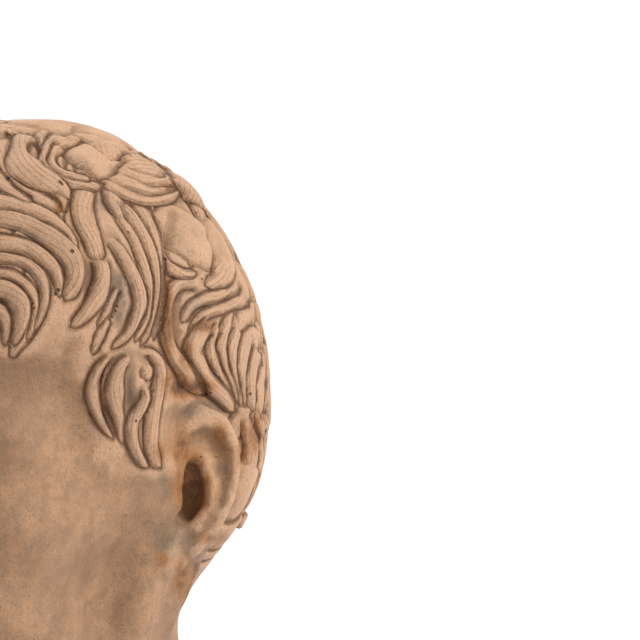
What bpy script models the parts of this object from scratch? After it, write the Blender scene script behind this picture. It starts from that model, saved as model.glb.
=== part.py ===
"""Earthenware bust: a life-size classical head with short curling hair, neck and upper chest, cut flat below.

The clay is one solid. The head is worked in its own millimetres from a point between the ears: +X is the
figure's left, -Y is the way the face looks, +Z is up. Each form below is a ball or a roll of clay
pressed into the mass (add) or scooped out of it (carve), and the last number is how softly it blends.
"""
import math

import bmesh
import bpy
import numpy as np
from mathutils import Vector
from mathutils.bvhtree import BVHTree

# Driving sizes, in metres
HEAD_HEIGHT = 0.240         # chin to crown
EAR_HEIGHT = 0.235          # middle of the ears above the flat underside
CHEST_WIDTH = 0.250         # across the trimmed shoulders
CHEST_DEPTH = 0.172         # front to back at the underside

UNIT = HEAD_HEIGHT / 240.0  # a millimetre on a head that is 240 mm high, in which all forms below are given
FLOOR = -EAR_HEIGHT / UNIT
CHEST_MIDDLE = 14.0         # of the underside, behind the point between the ears
NET_STEP = 2.4              # of the net that the clay is first skinned with
HEAD_FRONT, HEAD_BACK, HEAD_TOP = 125.0, 122.0, 136.0       # how far the head reaches; the chest is broader than it
FACES = 9400                # triangles that the finished solid keeps
FACE_KEPT = 0.00001         # how far the face keeps its triangles before the rest does, 0 for not at all
FACE_MIDDLE = np.array([0.0, -95.0, -20.0])
FACE_REACH = np.array([48.0, 45.0, 62.0])


def ellipsoid(p, centre, radii, turn_x=0.0, turn_z=0.0):
    q = p - np.array(centre, float)
    if turn_z:
        c, s = math.cos(math.radians(turn_z)), math.sin(math.radians(turn_z))
        q = np.stack([q[:, 0] * c + q[:, 1] * s, -q[:, 0] * s + q[:, 1] * c, q[:, 2]], 1)
    if turn_x:
        c, s = math.cos(math.radians(turn_x)), math.sin(math.radians(turn_x))
        q = np.stack([q[:, 0], q[:, 1] * c + q[:, 2] * s, -q[:, 1] * s + q[:, 2] * c], 1)
    r = np.array(radii, float)
    k0 = np.linalg.norm(q / r, axis=1)
    k1 = np.linalg.norm(q / (r * r), axis=1) + 1e-9
    return k0 * (k0 - 1.0) / k1


def roll(p, a, b, ra, rb):
    """A roll of clay from a to b whose radius runs from ra to rb."""
    a, b = np.array(a, float), np.array(b, float)
    ab = b - a
    t = np.clip((p - a) @ ab / (ab @ ab), 0.0, 1.0)
    return np.linalg.norm(p - a - t[:, None] * ab, axis=1) - (ra + (rb - ra) * t)


def rolls(p, points, radii):
    d = None
    for i in range(len(points) - 1):
        piece = roll(p, points[i], points[i + 1], radii[i], radii[i + 1])
        d = piece if d is None else np.minimum(d, piece)
    return d


def add(d, e, soft):
    h = np.clip(0.5 + 0.5 * (d - e) / soft, 0.0, 1.0)
    return d + (e - d) * h - soft * h * (1.0 - h)


def carve(d, e, soft):
    h = np.clip(0.5 - 0.5 * (d + e) / soft, 0.0, 1.0)
    return d + (-e - d) * h + soft * h * (1.0 - h)


def smooth(x, lo, hi):
    t = np.clip((x - lo) / (hi - lo), 0.0, 1.0)
    return t * t * (3.0 - 2.0 * t)


def skull(p):
    d = ellipsoid(p, (0, 19, 33.5), (74, 77, 88))
    d = add(d, ellipsoid(p, (0, -30, 38), (63, 64, 84)), 24)
    d = add(d, ellipsoid(p, (0, -4, 45.5), (64, 82, 81)), 16)
    return add(d, ellipsoid(p, (0, 33, 8), (58, 54, 42)), 20)


def face_mass(p, m):
    d = ellipsoid(p, (0, -46, -4), (59, 47, 58))
    d = add(d, ellipsoid(p, (0, -50, -60), (42, 41, 41)), 24)
    d = add(d, rolls(m, [(61, 2, -14), (54, -6, -54), (36, -44, -80), (13, -78, -88)], [9, 10, 10, 12]), 22)
    d = add(d, ellipsoid(m, (40, -52, -34), (20, 30, 30), turn_z=20), 22)
    d = add(d, ellipsoid(m, (47, -52, -8), (17, 26, 14), turn_z=28), 20)
    d = add(d, roll(m, (50, -46, -5), (66, 0, 3), 9, 7), 14)
    d = add(d, ellipsoid(p, (0, -77, -50), (31, 24, 29)), 16)
    return add(d, ellipsoid(p, (0, -85, -86), (19, 16, 15)), 12)


def brows_and_sockets(d, p, m):
    d = add(d, ellipsoid(m, (34, -66, 25), (26, 22, 12)), 12)
    d = add(d, rolls(m, [(5, -88, 28), (24, -88, 32), (42, -78, 31), (54, -62, 22)], [7, 7, 6.5, 6]), 10)
    d = carve(d, ellipsoid(m, (31, -99, 13.5), (18, 20, 12), turn_z=12), 9)
    return carve(d, ellipsoid(m, (16, -97, 14), (6, 9, 9)), 8)


def eyes(d, p, m):
    ball = np.linalg.norm(m - np.array([31.5, -73.6, 12.5]), axis=1)
    across = m[:, 0] - 31.0
    upper = np.hypot(across, m[:, 2] + 1.6) - 20.6
    lower = np.hypot(across, m[:, 2] - 34.0) - 27.2
    opening = add(-upper, -lower, 1.5)
    lids = -add(16.6 - ball, -opening, 1.6)
    d = add(d, lids, 4.0)
    return add(d, ball - 13.9, 0.8)


def nose(d, p, m):
    d = add(d, ellipsoid(p, (0, -90, -8), (14, 15, 26)), 9)
    d = add(d, rolls(p, [(0, -85, 27), (0, -91.5, 12), (0, -103, -8), (0, -109, -19)], [9.5, 7.6, 7.8, 8.4]), 8)
    d = add(d, ellipsoid(p, (0, -109.5, -22), (9.4, 8.8, 8.0)), 5)
    d = add(d, ellipsoid(m, (10.4, -98.5, -25.5), (6.8, 12.0, 8.0), turn_z=10), 6)
    d = add(d, roll(p, (0, -110, -27), (0, -98, -33), 3.4, 3.8), 4)
    d = carve(d, ellipsoid(m, (6.6, -103.5, -34.2), (3.4, 6.4, 4.2), turn_z=-18), 2.2)
    return carve(d, rolls(m, [(18.5, -94, -31), (19.6, -92, -24), (16.5, -94, -18)], [0.8, 0.9, 0.5]), 4.0)


def mouth(d, p, m):
    upper = [(0, -99.3, -49.4), (5.5, -100.0, -48.6), (15, -96.3, -51.6), (25, -88.5, -55.6)]
    lower = [(0, -98.2, -62), (9, -97.6, -61.6), (18, -92.5, -59.4), (24, -88, -57)]
    parting = [(0, -105.5, -56.4), (6, -105, -55.4), (15, -101, -55.9), (24, -93.5, -56.8), (27, -90, -57.6)]
    d = add(d, rolls(m, upper, [4.2, 4.6, 3.9, 1.8]), 3.2)
    d = add(d, rolls(m, lower, [5.4, 5.0, 3.4, 1.6]), 3.2)
    d = carve(d, rolls(m, parting, [0.8, 0.9, 0.9, 1.0, 1.2]), 2.2)
    d = carve(d, roll(p, (0, -105.5, -37), (0, -105.5, -44.5), 1.8, 2.2), 3.0)
    d = carve(d, ellipsoid(p, (0, -104.5, -72.5), (15, 7, 3.6)), 7)
    return carve(d, ellipsoid(m, (28.5, -94, -57.5), (2.4, 3.2, 3.8)), 6)


def neck(p, m):
    d = roll(p, (0, 3, -50), (0, 18, -175), 48, 53)
    d = add(d, rolls(m, [(57, 22, -22), (47, 6, -76), (24, -24, -134), (9, -36, -158)], [9, 9, 9, 7]), 10)
    d = add(d, ellipsoid(p, (0, -40, -108), (12, 12, 20)), 14)
    shoulder = [(17, 42, -40), (23, 42, -100), (58, 38, -152), (128, 26, -196)]
    return add(d, rolls(m, shoulder, [13, 16, 19, 18]), 26)


def chest(d, p, m, half_width, half_depth, middle, floor):
    """The chest under the neck, then the straight trim at its sides and the flat cut below."""
    d = add(d, ellipsoid(p, (0, middle, floor - 24), (half_width * 1.34, half_depth * 1.1, 112)), 26)
    collarbone = [(13, -43, -164), (44, -44, -169), (78, -30, -173), (108, -6, -178)]
    d = add(d, rolls(m, collarbone, [4.2, 4, 4, 4]), 18)
    d = carve(d, ellipsoid(p, (0, -60, -160), (9, 12, 12)), 9)
    x = m[:, 0] / half_width
    y = (p[:, 1] - middle) / half_depth
    trim = ((x ** 5 + np.abs(y) ** 5) ** 0.2 - 1.0) * half_depth
    trim = np.where(p[:, 2] < -126.0, trim, np.minimum(trim, -20.0))
    d = carve(d, -trim, 7)
    return np.maximum(d, floor - p[:, 2])


EAR_AT = (77.0, 14.0, 0.0)
EAR_FLARE = 25.0


def in_ear_plane(m):
    """Places as the ear sees them: u runs backwards, v up, w outwards."""
    c, s = math.cos(math.radians(EAR_FLARE)), math.sin(math.radians(EAR_FLARE))
    q = m - np.array(EAR_AT)
    return np.stack([q[:, 0] * s + q[:, 1] * c, q[:, 2], q[:, 0] * c - q[:, 1] * s], 1)


def ear(d, m):
    e = in_ear_plane(m)
    d = add(d, ellipsoid(e, (-2, 4, -7), (15, 28, 8)), 5)
    d = add(d, ellipsoid(e, (-12, -21, -4.5), (8.5, 10.5, 5.5)), 4)
    rim = [(-13, 6, -2.5), (-13, 15, -1), (-9, 24, 0), (-2, 28, 0.5), (6, 25, 1), (11, 17, 1.5),
           (12, 8, 1.5), (10, -2, 1), (5, -12, 0), (-3, -21, -2)]
    furrow = [(-5, 20, 3.2), (2, 20.5, 3.0), (7.2, 14, 3.5), (8, 6, 3.4), (5.5, -4, 2.6)]
    fold = [(-4, 16, -3), (0, 12, -1.2), (3.5, 3, -0.6), (2.5, -6, -0.6), (-3, -12.5, -0.5)]
    d = add(d, rolls(e, rim, [3.4, 3.8, 4.4, 4.6, 4.0, 3.2, 2.8, 2.8, 3.0, 3.4]), 2.5)
    d = carve(d, rolls(e, furrow, [2.6, 3.0, 2.4, 1.9, 1.6]), 2.0)
    d = carve(d, ellipsoid(e, (-4, 0, 1.0), (6.6, 12.5, 8.5)), 2.5)
    d = carve(d, ellipsoid(e, (-5, -6, -3.0), (4.6, 5.5, 8.0)), 2.0)
    d = add(d, rolls(e, fold, [3, 3, 2.4, 2.4, 2.6]), 2.5)
    d = add(d, rolls(e, [(-12, 5, -2.5), (-6, 4.5, -6)], [2.4, 2.0]), 2.5)
    d = add(d, ellipsoid(e, (-12.8, -2, -1.6), (4.6, 6.0, 4.0)), 3)
    return carve(d, ellipsoid(e, (-9.5, -10, 2.5), (2.6, 3.2, 4.5)), 1.5)


# Where the hair stops: degrees round from the forehead to the nape, and heights above the middle of the ear
HAIRLINE_TURN = [0, 20, 40, 51, 55, 58, 64, 80, 88, 92, 100, 108, 114, 120, 150, 180]
HAIRLINE_HEIGHT = [57, 55, 52, 50, 42, 14, 8, 5, 6, 26, 30, 26, -5, -42, -56, -60]
HEAD_ARC = 1.5              # millimetres to a degree round the head
HAIR_DEEP = 5.0             # of the hair above the scalp, millimetres
HAIR_AT_EAR = 3.0           # of the hair where it passes close round the ear


def above_hairline(p):
    """How far inside the hair a place is, in millimetres over the head's rounded side; below 0 on the skin."""
    turn = np.degrees(np.arctan2(np.abs(p[:, 0]), -p[:, 1]))
    around, far = turn * HEAD_ARC, np.full(len(p), 1e9)
    line = np.array([(t * HEAD_ARC, h) for t, h in zip(HAIRLINE_TURN, HAIRLINE_HEIGHT)])
    for start, end in zip(line[:-1], line[1:]):
        way = end - start
        t = np.clip(((around - start[0]) * way[0] + (p[:, 2] - start[1]) * way[1]) / (way @ way), 0.0, 1.0)
        far = np.minimum(far, np.hypot(around - start[0] - t * way[0], p[:, 2] - start[1] - t * way[1]))
    return far * np.sign(p[:, 2] - np.interp(turn, HAIRLINE_TURN, HAIRLINE_HEIGHT))


def from_ear(m):
    """1 on an oval just outside the ear's rim, less inside it, and far more away from the head's sides."""
    e = in_ear_plane(m)
    return np.hypot((e[:, 0] + 1.0) / 19.0, (e[:, 1] - 1.0) / 37.0) + np.clip((45.0 - m[:, 0]) / 10.0, 0.0, 9.0)


def hair_thickness(p, m):
    above = above_hairline(p)
    full = HAIR_AT_EAR + (HAIR_DEEP - HAIR_AT_EAR) * smooth(from_ear(m), 1.0, 1.5)
    return full * (0.25 * smooth(above, -1.5, 2.5) + 0.75 * smooth(above, -2.0, 18.0))


def head_without_ears(p, m):
    d = add(skull(p), face_mass(p, m), 22)
    d = brows_and_sockets(d, p, m)
    d = nose(d, p, m)
    d = mouth(d, p, m)
    d = eyes(d, p, m)
    return add(d, neck(p, m), 16) - hair_thickness(p, m)


def clay(p):
    """Signed distance, roughly, to the bust before its locks are cut."""
    m = p.copy()
    m[:, 0] = np.abs(m[:, 0])
    d = ear(head_without_ears(p, m), m)
    return chest(d, p, m, CHEST_WIDTH / 2 / UNIT, CHEST_DEPTH / 2 / UNIT, CHEST_MIDDLE, FLOOR)


def lock_cover(p):
    """1 where locks are cut in the hair, 0 on the skin and on the ears."""
    m = p.copy()
    m[:, 0] = np.abs(m[:, 0])
    ear_only = ear(np.full(len(m), 9.0), m)
    return smooth(above_hairline(p), -1.0, 3.0) * smooth(ear_only, 0.3, 2.5)


def grid_values(field, low, step, shape):
    """The field on a grid, worked out in full only in the blocks of cells that the surface passes near."""
    near = 4
    blocks = [-(-n // near) for n in shape]
    centre = np.stack(np.meshgrid(*[(np.arange(b) * near + near / 2) for b in blocks], indexing="ij"), -1)
    coarse = field(low + step * centre.reshape(-1, 3)).reshape(blocks)
    values = coarse
    for axis in range(3):
        values = np.repeat(values, near, axis=axis)
    close = np.abs(coarse) < step * near * 1.6
    offset = np.stack(np.meshgrid(*[np.arange(near)] * 3, indexing="ij"), -1).reshape(-1, 3)
    index = (np.argwhere(close)[:, None, :] * near + offset).reshape(-1, 3)
    values[tuple(index.T)] = field(low + step * index)
    return values


CORNERS = [(i, j, k) for i in (0, 1) for j in (0, 1) for k in (0, 1)]


def hangs_together(chosen):
    """Whether these corners of a cell can all be reached from one of them along the cell's edges."""
    reached = chosen[:1]
    for _ in range(7):
        reached = [c for c in chosen if any(sum(abs(x - y) for x, y in zip(c, r)) <= 1 for r in reached)]
    return len(reached) == len(chosen)


def untangle(values):
    """Turns over a value in each cell where the surface would touch itself, until there is no such cell."""
    tangled = np.zeros(256, bool)
    for pattern in range(256):
        inner = [c for bit, c in enumerate(CORNERS) if pattern >> bit & 1]
        outer = [c for c in CORNERS if c not in inner]
        tangled[pattern] = not (hangs_together(inner) and hangs_together(outer))
    cells = [n - 1 for n in values.shape]
    for _ in range(12):
        pattern = np.zeros(cells, np.int16)
        for bit, c in enumerate(CORNERS):
            inner = values[c[0]:c[0] + cells[0], c[1]:c[1] + cells[1], c[2]:c[2] + cells[2]] < 0.0
            pattern += inner.astype(np.int16) << bit
        turned = {min((tuple(cell + c) for c in CORNERS), key=lambda corner: abs(values[corner]))
                  for cell in np.argwhere(tangled[pattern])}
        for at in turned:
            values[at] = -values[at] if values[at] else 1e-3
        if not turned:
            break
    return values


def net_over(field, low, high, step):
    """A net of quads over the field's surface: a knot in each cell that it crosses, tied to its neighbours."""
    low = np.array(low, float)
    shape = [int(math.ceil((h - l) / step)) + 1 for l, h in zip(low, high)]
    values = untangle(grid_values(field, low, step, shape))
    inside = values < 0.0
    cells = tuple(n - 1 for n in values.shape)

    def corner(array, offset):
        return array[tuple(slice(o, o + c) for o, c in zip(offset, cells))]

    held = sum(corner(inside, c).astype(np.int8) for c in CORNERS)
    active = (held > 0) & (held < 8)
    index = np.argwhere(active)
    knots, crossings = np.zeros((len(index), 3)), np.zeros(len(index))
    for a in CORNERS:
        for axis in range(3):
            if a[axis]:
                continue
            b = list(a)
            b[axis] = 1
            va = values[tuple((index + a).T)]
            vb = values[tuple((index + b).T)]
            cut = (va < 0) != (vb < 0)
            t = np.where(cut, va / np.where(cut, va - vb, 1.0), 0.0)
            where = np.array(a, float) + t[:, None] * (np.array(b, float) - np.array(a, float))
            knots += where * cut[:, None]
            crossings += cut
    knots = low + step * (index + knots / crossings[:, None])
    number = np.full(cells, -1, np.int64)
    number[active] = np.arange(len(index))
    quads = []
    for axis in range(3):
        u, v = [(1, 2), (2, 0), (0, 1)][axis]
        edge = np.argwhere(np.diff(inside, axis=axis))
        edge = edge[(edge[:, u] > 0) & (edge[:, v] > 0) & (edge[:, u] < cells[u]) & (edge[:, v] < cells[v])]
        ring = []
        for du, dv in ((0, 0), (1, 0), (1, 1), (0, 1)):
            at = edge.copy()
            at[:, u] -= du
            at[:, v] -= dv
            ring.append(number[tuple(at.T)])
        quad = np.stack(ring, 1)
        outward = inside[tuple(edge.T)]
        quad[~outward] = quad[~outward][:, ::-1]
        quads.append(quad)
    return knots, np.concatenate(quads)


def mesh_from(name, points, quads):
    mesh = bpy.data.meshes.new(name)
    mesh.vertices.add(len(points))
    mesh.vertices.foreach_set("co", np.ascontiguousarray(points, np.float32).ravel())
    mesh.loops.add(quads.size)
    mesh.loops.foreach_set("vertex_index", quads.astype(np.int32).ravel())
    mesh.polygons.add(len(quads))
    mesh.polygons.foreach_set("loop_start", np.arange(0, quads.size, quads.shape[1], dtype=np.int32))
    mesh.update(calc_edges=True)
    mesh.validate()
    return mesh


def field_slope(field, p, step=0.25):
    base = field(p)
    slope = np.empty_like(p)
    for axis in range(3):
        moved = p.copy()
        moved[:, axis] += step
        slope[:, axis] = (field(moved) - base) / step
    return base, slope


def press_onto(field, p, rounds):
    """Moves each point along the slope until it lies on the clay's surface, and gives the slope there."""
    slope = None
    for _ in range(rounds):
        base, slope = field_slope(field, p)
        size = np.maximum((slope ** 2).sum(1), 0.15)
        p = p - np.clip(base / size, -1.5, 1.5)[:, None] * slope
    return p, slope / np.linalg.norm(slope, axis=1)[:, None]


SKULL_MIDDLE = np.array([0.0, 0.0, 36.0])
# Rows from the nape up: degrees above level from the middle of the skull, how many locks go round, their width
COMBED_ROWS = [(-36, 17, 17), (-22, 18, 18), (-6, 18, 19), (10, 18, 19),
               (26, 17, 19), (42, 14, 19), (58, 11, 18), (74, 7, 16)]
# The fringe's rows from the hairline up: height, first lock's turn, how many locks, degrees apart
FRINGE_ROWS = [(25, 4, 4, 10.5), (38, 8, 3, 12), (51, 4, 3, 14), (63, 10, 2, 18)]
FRINGE_WIDE = 17.0
VALLEY = -1.5               # of the gaps between locks, against the hair's own surface
LOCK_BROAD = 1.15           # of a modelled lock against the drawn one


# The locks are drawn on a sheet that faces the viewer of the figure's left temple, in sheet units
SHEET_TURN = 37.0           # degrees from the front to the sheet's axis
SHEET_TILT = 4.0            # degrees that the viewer stands above
SHEET_UNITS = 2.65          # to the millimetre
SHEET_FAR = 2000.0          # viewer to sheet, millimetres
SHEET_MIDDLE = (320.0, 320.0)
SHEET_HEAD = (20.0, 482.0)  # where the sheet crosses the point between the ears

# name: (height in millimetres, width in sheet units, points along the middle)
LOCKS = {
    "crown_band": (3.0, 15, [(30, 134), (48, 131), (66, 130), (84, 134), (98, 148)]),
    "crown_hook": (3.6, 19, [(30, 140), (15, 152), (19, 168), (42, 181), (68, 198)]),
    "rosette_rim": (3.4, 14, [(84, 143), (56, 148), (46, 163), (60, 180), (98, 187)]),
    "rosette_eye": (3.6, 20, [(103, 152), (92, 168), (78, 166), (84, 155)]),
    "top_curl": (5.0, 14, [(104, 150), (118, 165), (138, 166), (150, 156)]),
    "top_fold": (5.4, 12, [(104, 172), (125, 177), (150, 176), (172, 167)]),
    "top_hem": (5.6, 14, [(100, 182), (120, 189), (148, 194), (174, 188)]),
    "top_knob": (6.0, 17, [(170, 170), (184, 178), (186, 192), (176, 204)]),
    "brow_wave_a": (3.2, 17, [(-12, 178), (14, 191), (44, 204), (66, 222), (80, 244)]),
    "brow_wave_b": (3.2, 19, [(-12, 216), (30, 227), (62, 246), (73, 272), (66, 297)]),
    "brow_wave_c": (2.6, 15, [(-12, 243), (28, 250), (50, 268), (53, 297)]),
    "brow_wave_d": (3.2, 14, [(-10, 273), (22, 279), (38, 303), (33, 339)]),
    "brow_wave_e": (3.4, 17, [(-12, 284), (12, 299), (21, 320), (14, 344)]),
    "middle_root": (2.8, 16, [(94, 190), (81, 208), (84, 234), (96, 258)]),
    "middle_tongue": (3.6, 17, [(98, 262), (100, 286), (86, 311), (68, 327)]),
    "middle_hollow": (1.2, 14, [(116, 268), (116, 296), (104, 314), (90, 324)]),
    "long_strand_a": (3.2, 13, [(103, 212), (120, 258), (137, 298), (126, 334), (104, 349)]),
    "long_strand_b": (2.6, 12, [(112, 205), (138, 246), (146, 290), (140, 322), (122, 346)]),
    "long_strand_c": (2.8, 13, [(122, 203), (148, 244), (154, 290), (146, 330), (132, 347)]),
    "temple_outer": (3.2, 14, [(112, 354), (93, 380), (96, 412), (114, 438)]),
    "temple_inner": (3.2, 16, [(128, 359), (113, 378), (112, 412), (120, 446)]),
    "temple_rim": (3.2, 13, [(130, 350), (153, 361), (156, 390), (153, 426)]),
    "temple_snake": (3.6, 12, [(140, 384), (139, 408), (127, 432), (145, 468)]),
    "temple_end": (2.8, 13, [(152, 424), (149, 442), (158, 467)]),
    "ball_rim": (3.0, 10, [(164, 203), (154, 228), (160, 254), (178, 274)]),
    "ball": (4.4, 38, [(186, 210), (187, 235), (188, 256), (190, 274)]),
    "ball_cover": (3.4, 16, [(194, 212), (213, 238), (220, 262), (204, 286)]),
    "ear_lock_a": (3.6, 17, [(186, 286), (169, 304), (169, 338), (186, 376), (206, 395)]),
    "ear_lock_b": (1.8, 15, [(222, 294), (196, 302), (185, 324), (182, 346)]),
    "ear_lock_c": (3.6, 19, [(212, 320), (192, 345), (200, 376), (228, 408)]),
    "back_strand_a": (3.0, 10, [(236, 294), (220, 310), (206, 340), (222, 380), (238, 412)]),
    "back_strand_b": (3.0, 11, [(240, 306), (231, 330), (228, 358), (236, 398)]),
    "back_strand_c": (3.0, 11, [(246, 300), (248, 330), (240, 362), (242, 402)]),
    "back_strand_d": (3.0, 10, [(214, 224), (236, 262), (254, 312), (251, 356), (253, 404)]),
    "behind_ear": (3.2, 11, [(242, 424), (249, 452), (243, 484), (228, 506)]),
    "nape_strand": (3.0, 11, [(262, 428), (256, 472), (236, 512), (204, 544)]),
    "nape_end": (2.6, 11, [(206, 546), (193, 570), (184, 600)]),
}


def sheet_eye():
    """The viewer's place, and the sheet's own axes and middle."""
    turn, tilt = math.radians(SHEET_TURN), math.radians(SHEET_TILT)
    out = np.array([math.sin(turn) * math.cos(tilt), -math.cos(turn) * math.cos(tilt), math.sin(tilt)])
    across = np.array([math.cos(turn), math.sin(turn), 0.0])
    up = np.cross(out, across)
    head = (np.array(SHEET_HEAD) - SHEET_MIDDLE) / SHEET_UNITS
    middle = -(head[0] * across - head[1] * up)
    return middle + SHEET_FAR * out, across, up, middle


def cast_from_sheet(tree, x, y):
    """Where the line of sight through a point of the sheet meets the head, or None."""
    eye, across, up, middle = sheet_eye()
    on_sheet = middle + (x - SHEET_MIDDLE[0]) / SHEET_UNITS * across - (y - SHEET_MIDDLE[1]) / SHEET_UNITS * up
    aim = on_sheet - eye
    hit = tree.ray_cast(Vector(eye), Vector(aim / np.linalg.norm(aim)))
    return None if hit[0] is None else np.array(hit[0])


def spline(points, count):
    """A smooth curve through the points, evenly numbered."""
    p = np.array(points, float)
    p = np.concatenate([[2 * p[0] - p[1]], p, [2 * p[-1] - p[-2]]])
    t = np.linspace(0.0, len(points) - 1.0, count)
    i = np.minimum(t.astype(int), len(points) - 2)
    f = (t - i)[:, None]
    a, b, c, d = p[i], p[i + 1], p[i + 2], p[i + 3]
    return 0.5 * (2 * b + (c - a) * f + (2 * a - 5 * b + 4 * c - d) * f * f + (3 * b - a - 3 * c + d) * f ** 3)


def taper(along):
    """How wide a lock is along its length, against its widest."""
    return np.clip(0.5 + 2.2 * along, 0.0, 1.0) * np.clip(0.12 + 2.2 * (1.0 - along), 0.0, 1.0) ** 0.8


def sheet_lock(tree, points, width, count=22):
    """A drawn lock laid on the head: the middle line and the half-width beside it, as world vectors."""
    line = spline(points, count)
    way = np.gradient(line, axis=0)
    way /= np.linalg.norm(way, axis=1)[:, None]
    side = np.stack([-way[:, 1], way[:, 0]], 1) * (width / 2.0 * taper(np.linspace(0, 1, count)))[:, None]
    middle, half = [], []
    for (x, y), (dx, dy) in zip(line, side):
        hits = [cast_from_sheet(tree, x + k * dx, y + k * dy) for k in (-1, 0, 1)]
        if any(h is None for h in hits):
            continue
        middle.append(hits[1])
        half.append((hits[2] - hits[0]) / 2.0)
    return np.array(middle).reshape(-1, 3), np.array(half).reshape(-1, 3)


def round_lock(tree, turns, lifts, width, count=18):
    """A lock given by degrees round from the front and up from level, seen from the middle of the skull."""
    line = spline(list(zip(turns, lifts)), count)
    middle = []
    for turn, lift in np.radians(line):
        out = Vector((math.sin(turn) * math.cos(lift), -math.cos(turn) * math.cos(lift), math.sin(lift)))
        hit = tree.ray_cast(Vector(SKULL_MIDDLE) + 250.0 * out, -out)
        middle.append(np.array(hit[0]))
    middle = np.array(middle)
    way = np.gradient(middle, axis=0)
    side = np.cross(way, middle - SKULL_MIDDLE)
    side /= np.linalg.norm(side, axis=1)[:, None]
    return middle, side * (width / 2.0 * taper(np.linspace(0, 1, count)))[:, None]


def press_lock(p, depth, lock, height):
    """Lays a lock over the depths so far: it hides what it covers and stands up between two cut edges."""
    middle, half = lock
    if len(middle) < 3:
        return depth
    size = np.linalg.norm(half, axis=1)
    reach = size.max() + 3.0
    near = np.all((p > middle.min(0) - reach) & (p < middle.max(0) + reach), axis=1)
    q = p[near]
    best = np.full(len(q), 1e9)
    across, along = np.zeros(len(q)), np.zeros(len(q))
    for i in range(len(middle) - 1):
        step = middle[i + 1] - middle[i]
        t = np.clip((q - middle[i]) @ step / (step @ step), 0.0, 1.0)
        off = q - middle[i] - t[:, None] * step
        far = np.linalg.norm(off, axis=1)
        closer = far < best
        wide = half[i] + t[:, None] * (half[i + 1] - half[i])
        broad = np.maximum((wide ** 2).sum(1), 0.04)
        best = np.where(closer, far, best)
        across = np.where(closer, far * np.sign((off * wide).sum(1)) / np.sqrt(broad), across)
        along = np.where(closer, (i + t) / (len(middle) - 1), along)
    edge = np.abs(across)
    crown = np.sqrt(np.clip(1.0 - edge ** 2.2, 0.0, 1.0)) * np.clip(6.0 * along + 0.3, 0, 1)
    inside = 1.0 - smooth(edge, 0.92, 1.12)
    raised = height * crown - 1.0
    depth = depth.copy()
    depth[near] = depth[near] + (raised - depth[near]) * inside
    return depth


def combed_rows():
    """Rows of waving locks by rule: turns, lifts and width. The nape's come first, so that each row lies over
    the roots of the row below it, up to the crown."""
    made = []
    for row, (lift, count, width) in enumerate(COMBED_ROWS):
        for k in range(count):
            turn = 360.0 * (k + 0.5 * (row % 2)) / count + 5.0 * math.sin(2.4 * k + row)
            wave = (7.0 if (k // 2 + row) % 2 else -7.0) / max(0.45, math.cos(math.radians(lift)))
            drop = 1.0 + 0.12 * math.sin(3.1 * k + 1.7 * row)
            turns = (turn, turn + wave, turn + 0.2 * wave, turn - 0.9 * wave)
            lifts = (lift + 15, lift + 4, lift - 9 * drop, lift - 21 * drop)
            made.append((turns, lifts, width))
    return made


def fringe_rows():
    """Strands from the forelock out towards the temples, whose tips hook back in over the forehead."""
    made = []
    for row, (lift, first, count, apart) in enumerate(FRINGE_ROWS):
        for k in range(count):
            turn = first + apart * k
            hook = 4.0 + 2.0 * math.sin(1.9 * k + row)
            turns = (turn - 9, turn + 2, turn + 6, turn + 6 - hook)
            lifts = (lift + 17, lift + 8, lift - 3, lift - 12 - 1.5 * math.sin(2.2 * k + 2.0 * row))
            made.append((turns, lifts, FRINGE_WIDE))
    return made


def from_front(turn):
    return abs((turn + 180.0) % 360.0 - 180.0)


def in_drawn_side(turn, lift):
    """Whether the sheet's own locks, or their mirror, already cover that direction."""
    return 36.0 < from_front(turn) < 122.0 and lift < 60.0


def mirrored_path(points):
    """The other temple's lock: the same one, wandering a little, as a modeller repeats a shape by hand."""
    return [(x + 5.0 * math.sin(y / 27.0), y + 4.0 * math.sin(x / 33.0 + 1.0)) for x, y in points]


def hair_depths(p, tree):
    depth = np.full(len(p), VALLEY)
    flip = np.array([-1.0, 1.0, 1.0])
    for turns, lifts, width in combed_rows():
        in_fringe = from_front(turns[1]) < 36.0 and lifts[1] < 70.0
        if in_fringe or in_drawn_side(turns[1], lifts[1]):
            continue
        depth = press_lock(p, depth, round_lock(tree, turns, lifts, width), 3.4)
    for turns, lifts, width in fringe_rows():
        middle, half = round_lock(tree, turns, lifts, width)
        depth = press_lock(p, depth, (middle, half), 3.2)
        depth = press_lock(p, depth, (middle * flip, half * flip), 3.2)
    for height, width, points in LOCKS.values():
        depth = press_lock(p, depth, sheet_lock(tree, points, width * LOCK_BROAD), height)
        middle, half = sheet_lock(tree, mirrored_path(points), width * LOCK_BROAD)
        depth = press_lock(p, depth, (middle * flip, half * flip), height)
    return depth


def carved_net():
    """The whole bust as a net of quads."""
    room = 2.0 * NET_STEP
    side = CHEST_WIDTH / 2 / UNIT + room
    front = max(CHEST_DEPTH / 2 / UNIT - CHEST_MIDDLE, HEAD_FRONT) + room
    back = max(CHEST_DEPTH / 2 / UNIT + CHEST_MIDDLE, HEAD_BACK) + room
    low = (-side, -front, FLOOR - room)
    high = (side, back, HEAD_TOP + room)
    points, quads = net_over(clay, low, high, NET_STEP)
    points, slope = press_onto(clay, points, 2)
    tree = BVHTree.FromPolygons([Vector(v) for v in points], quads.tolist())
    points = points + slope * (hair_depths(points, tree) * lock_cover(points))[:, None]
    points[points[:, 2] < FLOOR + 0.4 * NET_STEP, 2] = FLOOR
    return points, quads


def clay_material():
    material = bpy.data.materials.new("earthenware")
    material.use_nodes = True
    shader = material.node_tree.nodes["Principled BSDF"]
    shader.inputs["Base Color"].default_value = (0.42, 0.26, 0.16, 1.0)
    shader.inputs["Roughness"].default_value = 0.7
    shader.inputs["Metallic"].default_value = 0.0
    material.diffuse_color = (0.42, 0.26, 0.16, 1.0)
    return material


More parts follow.
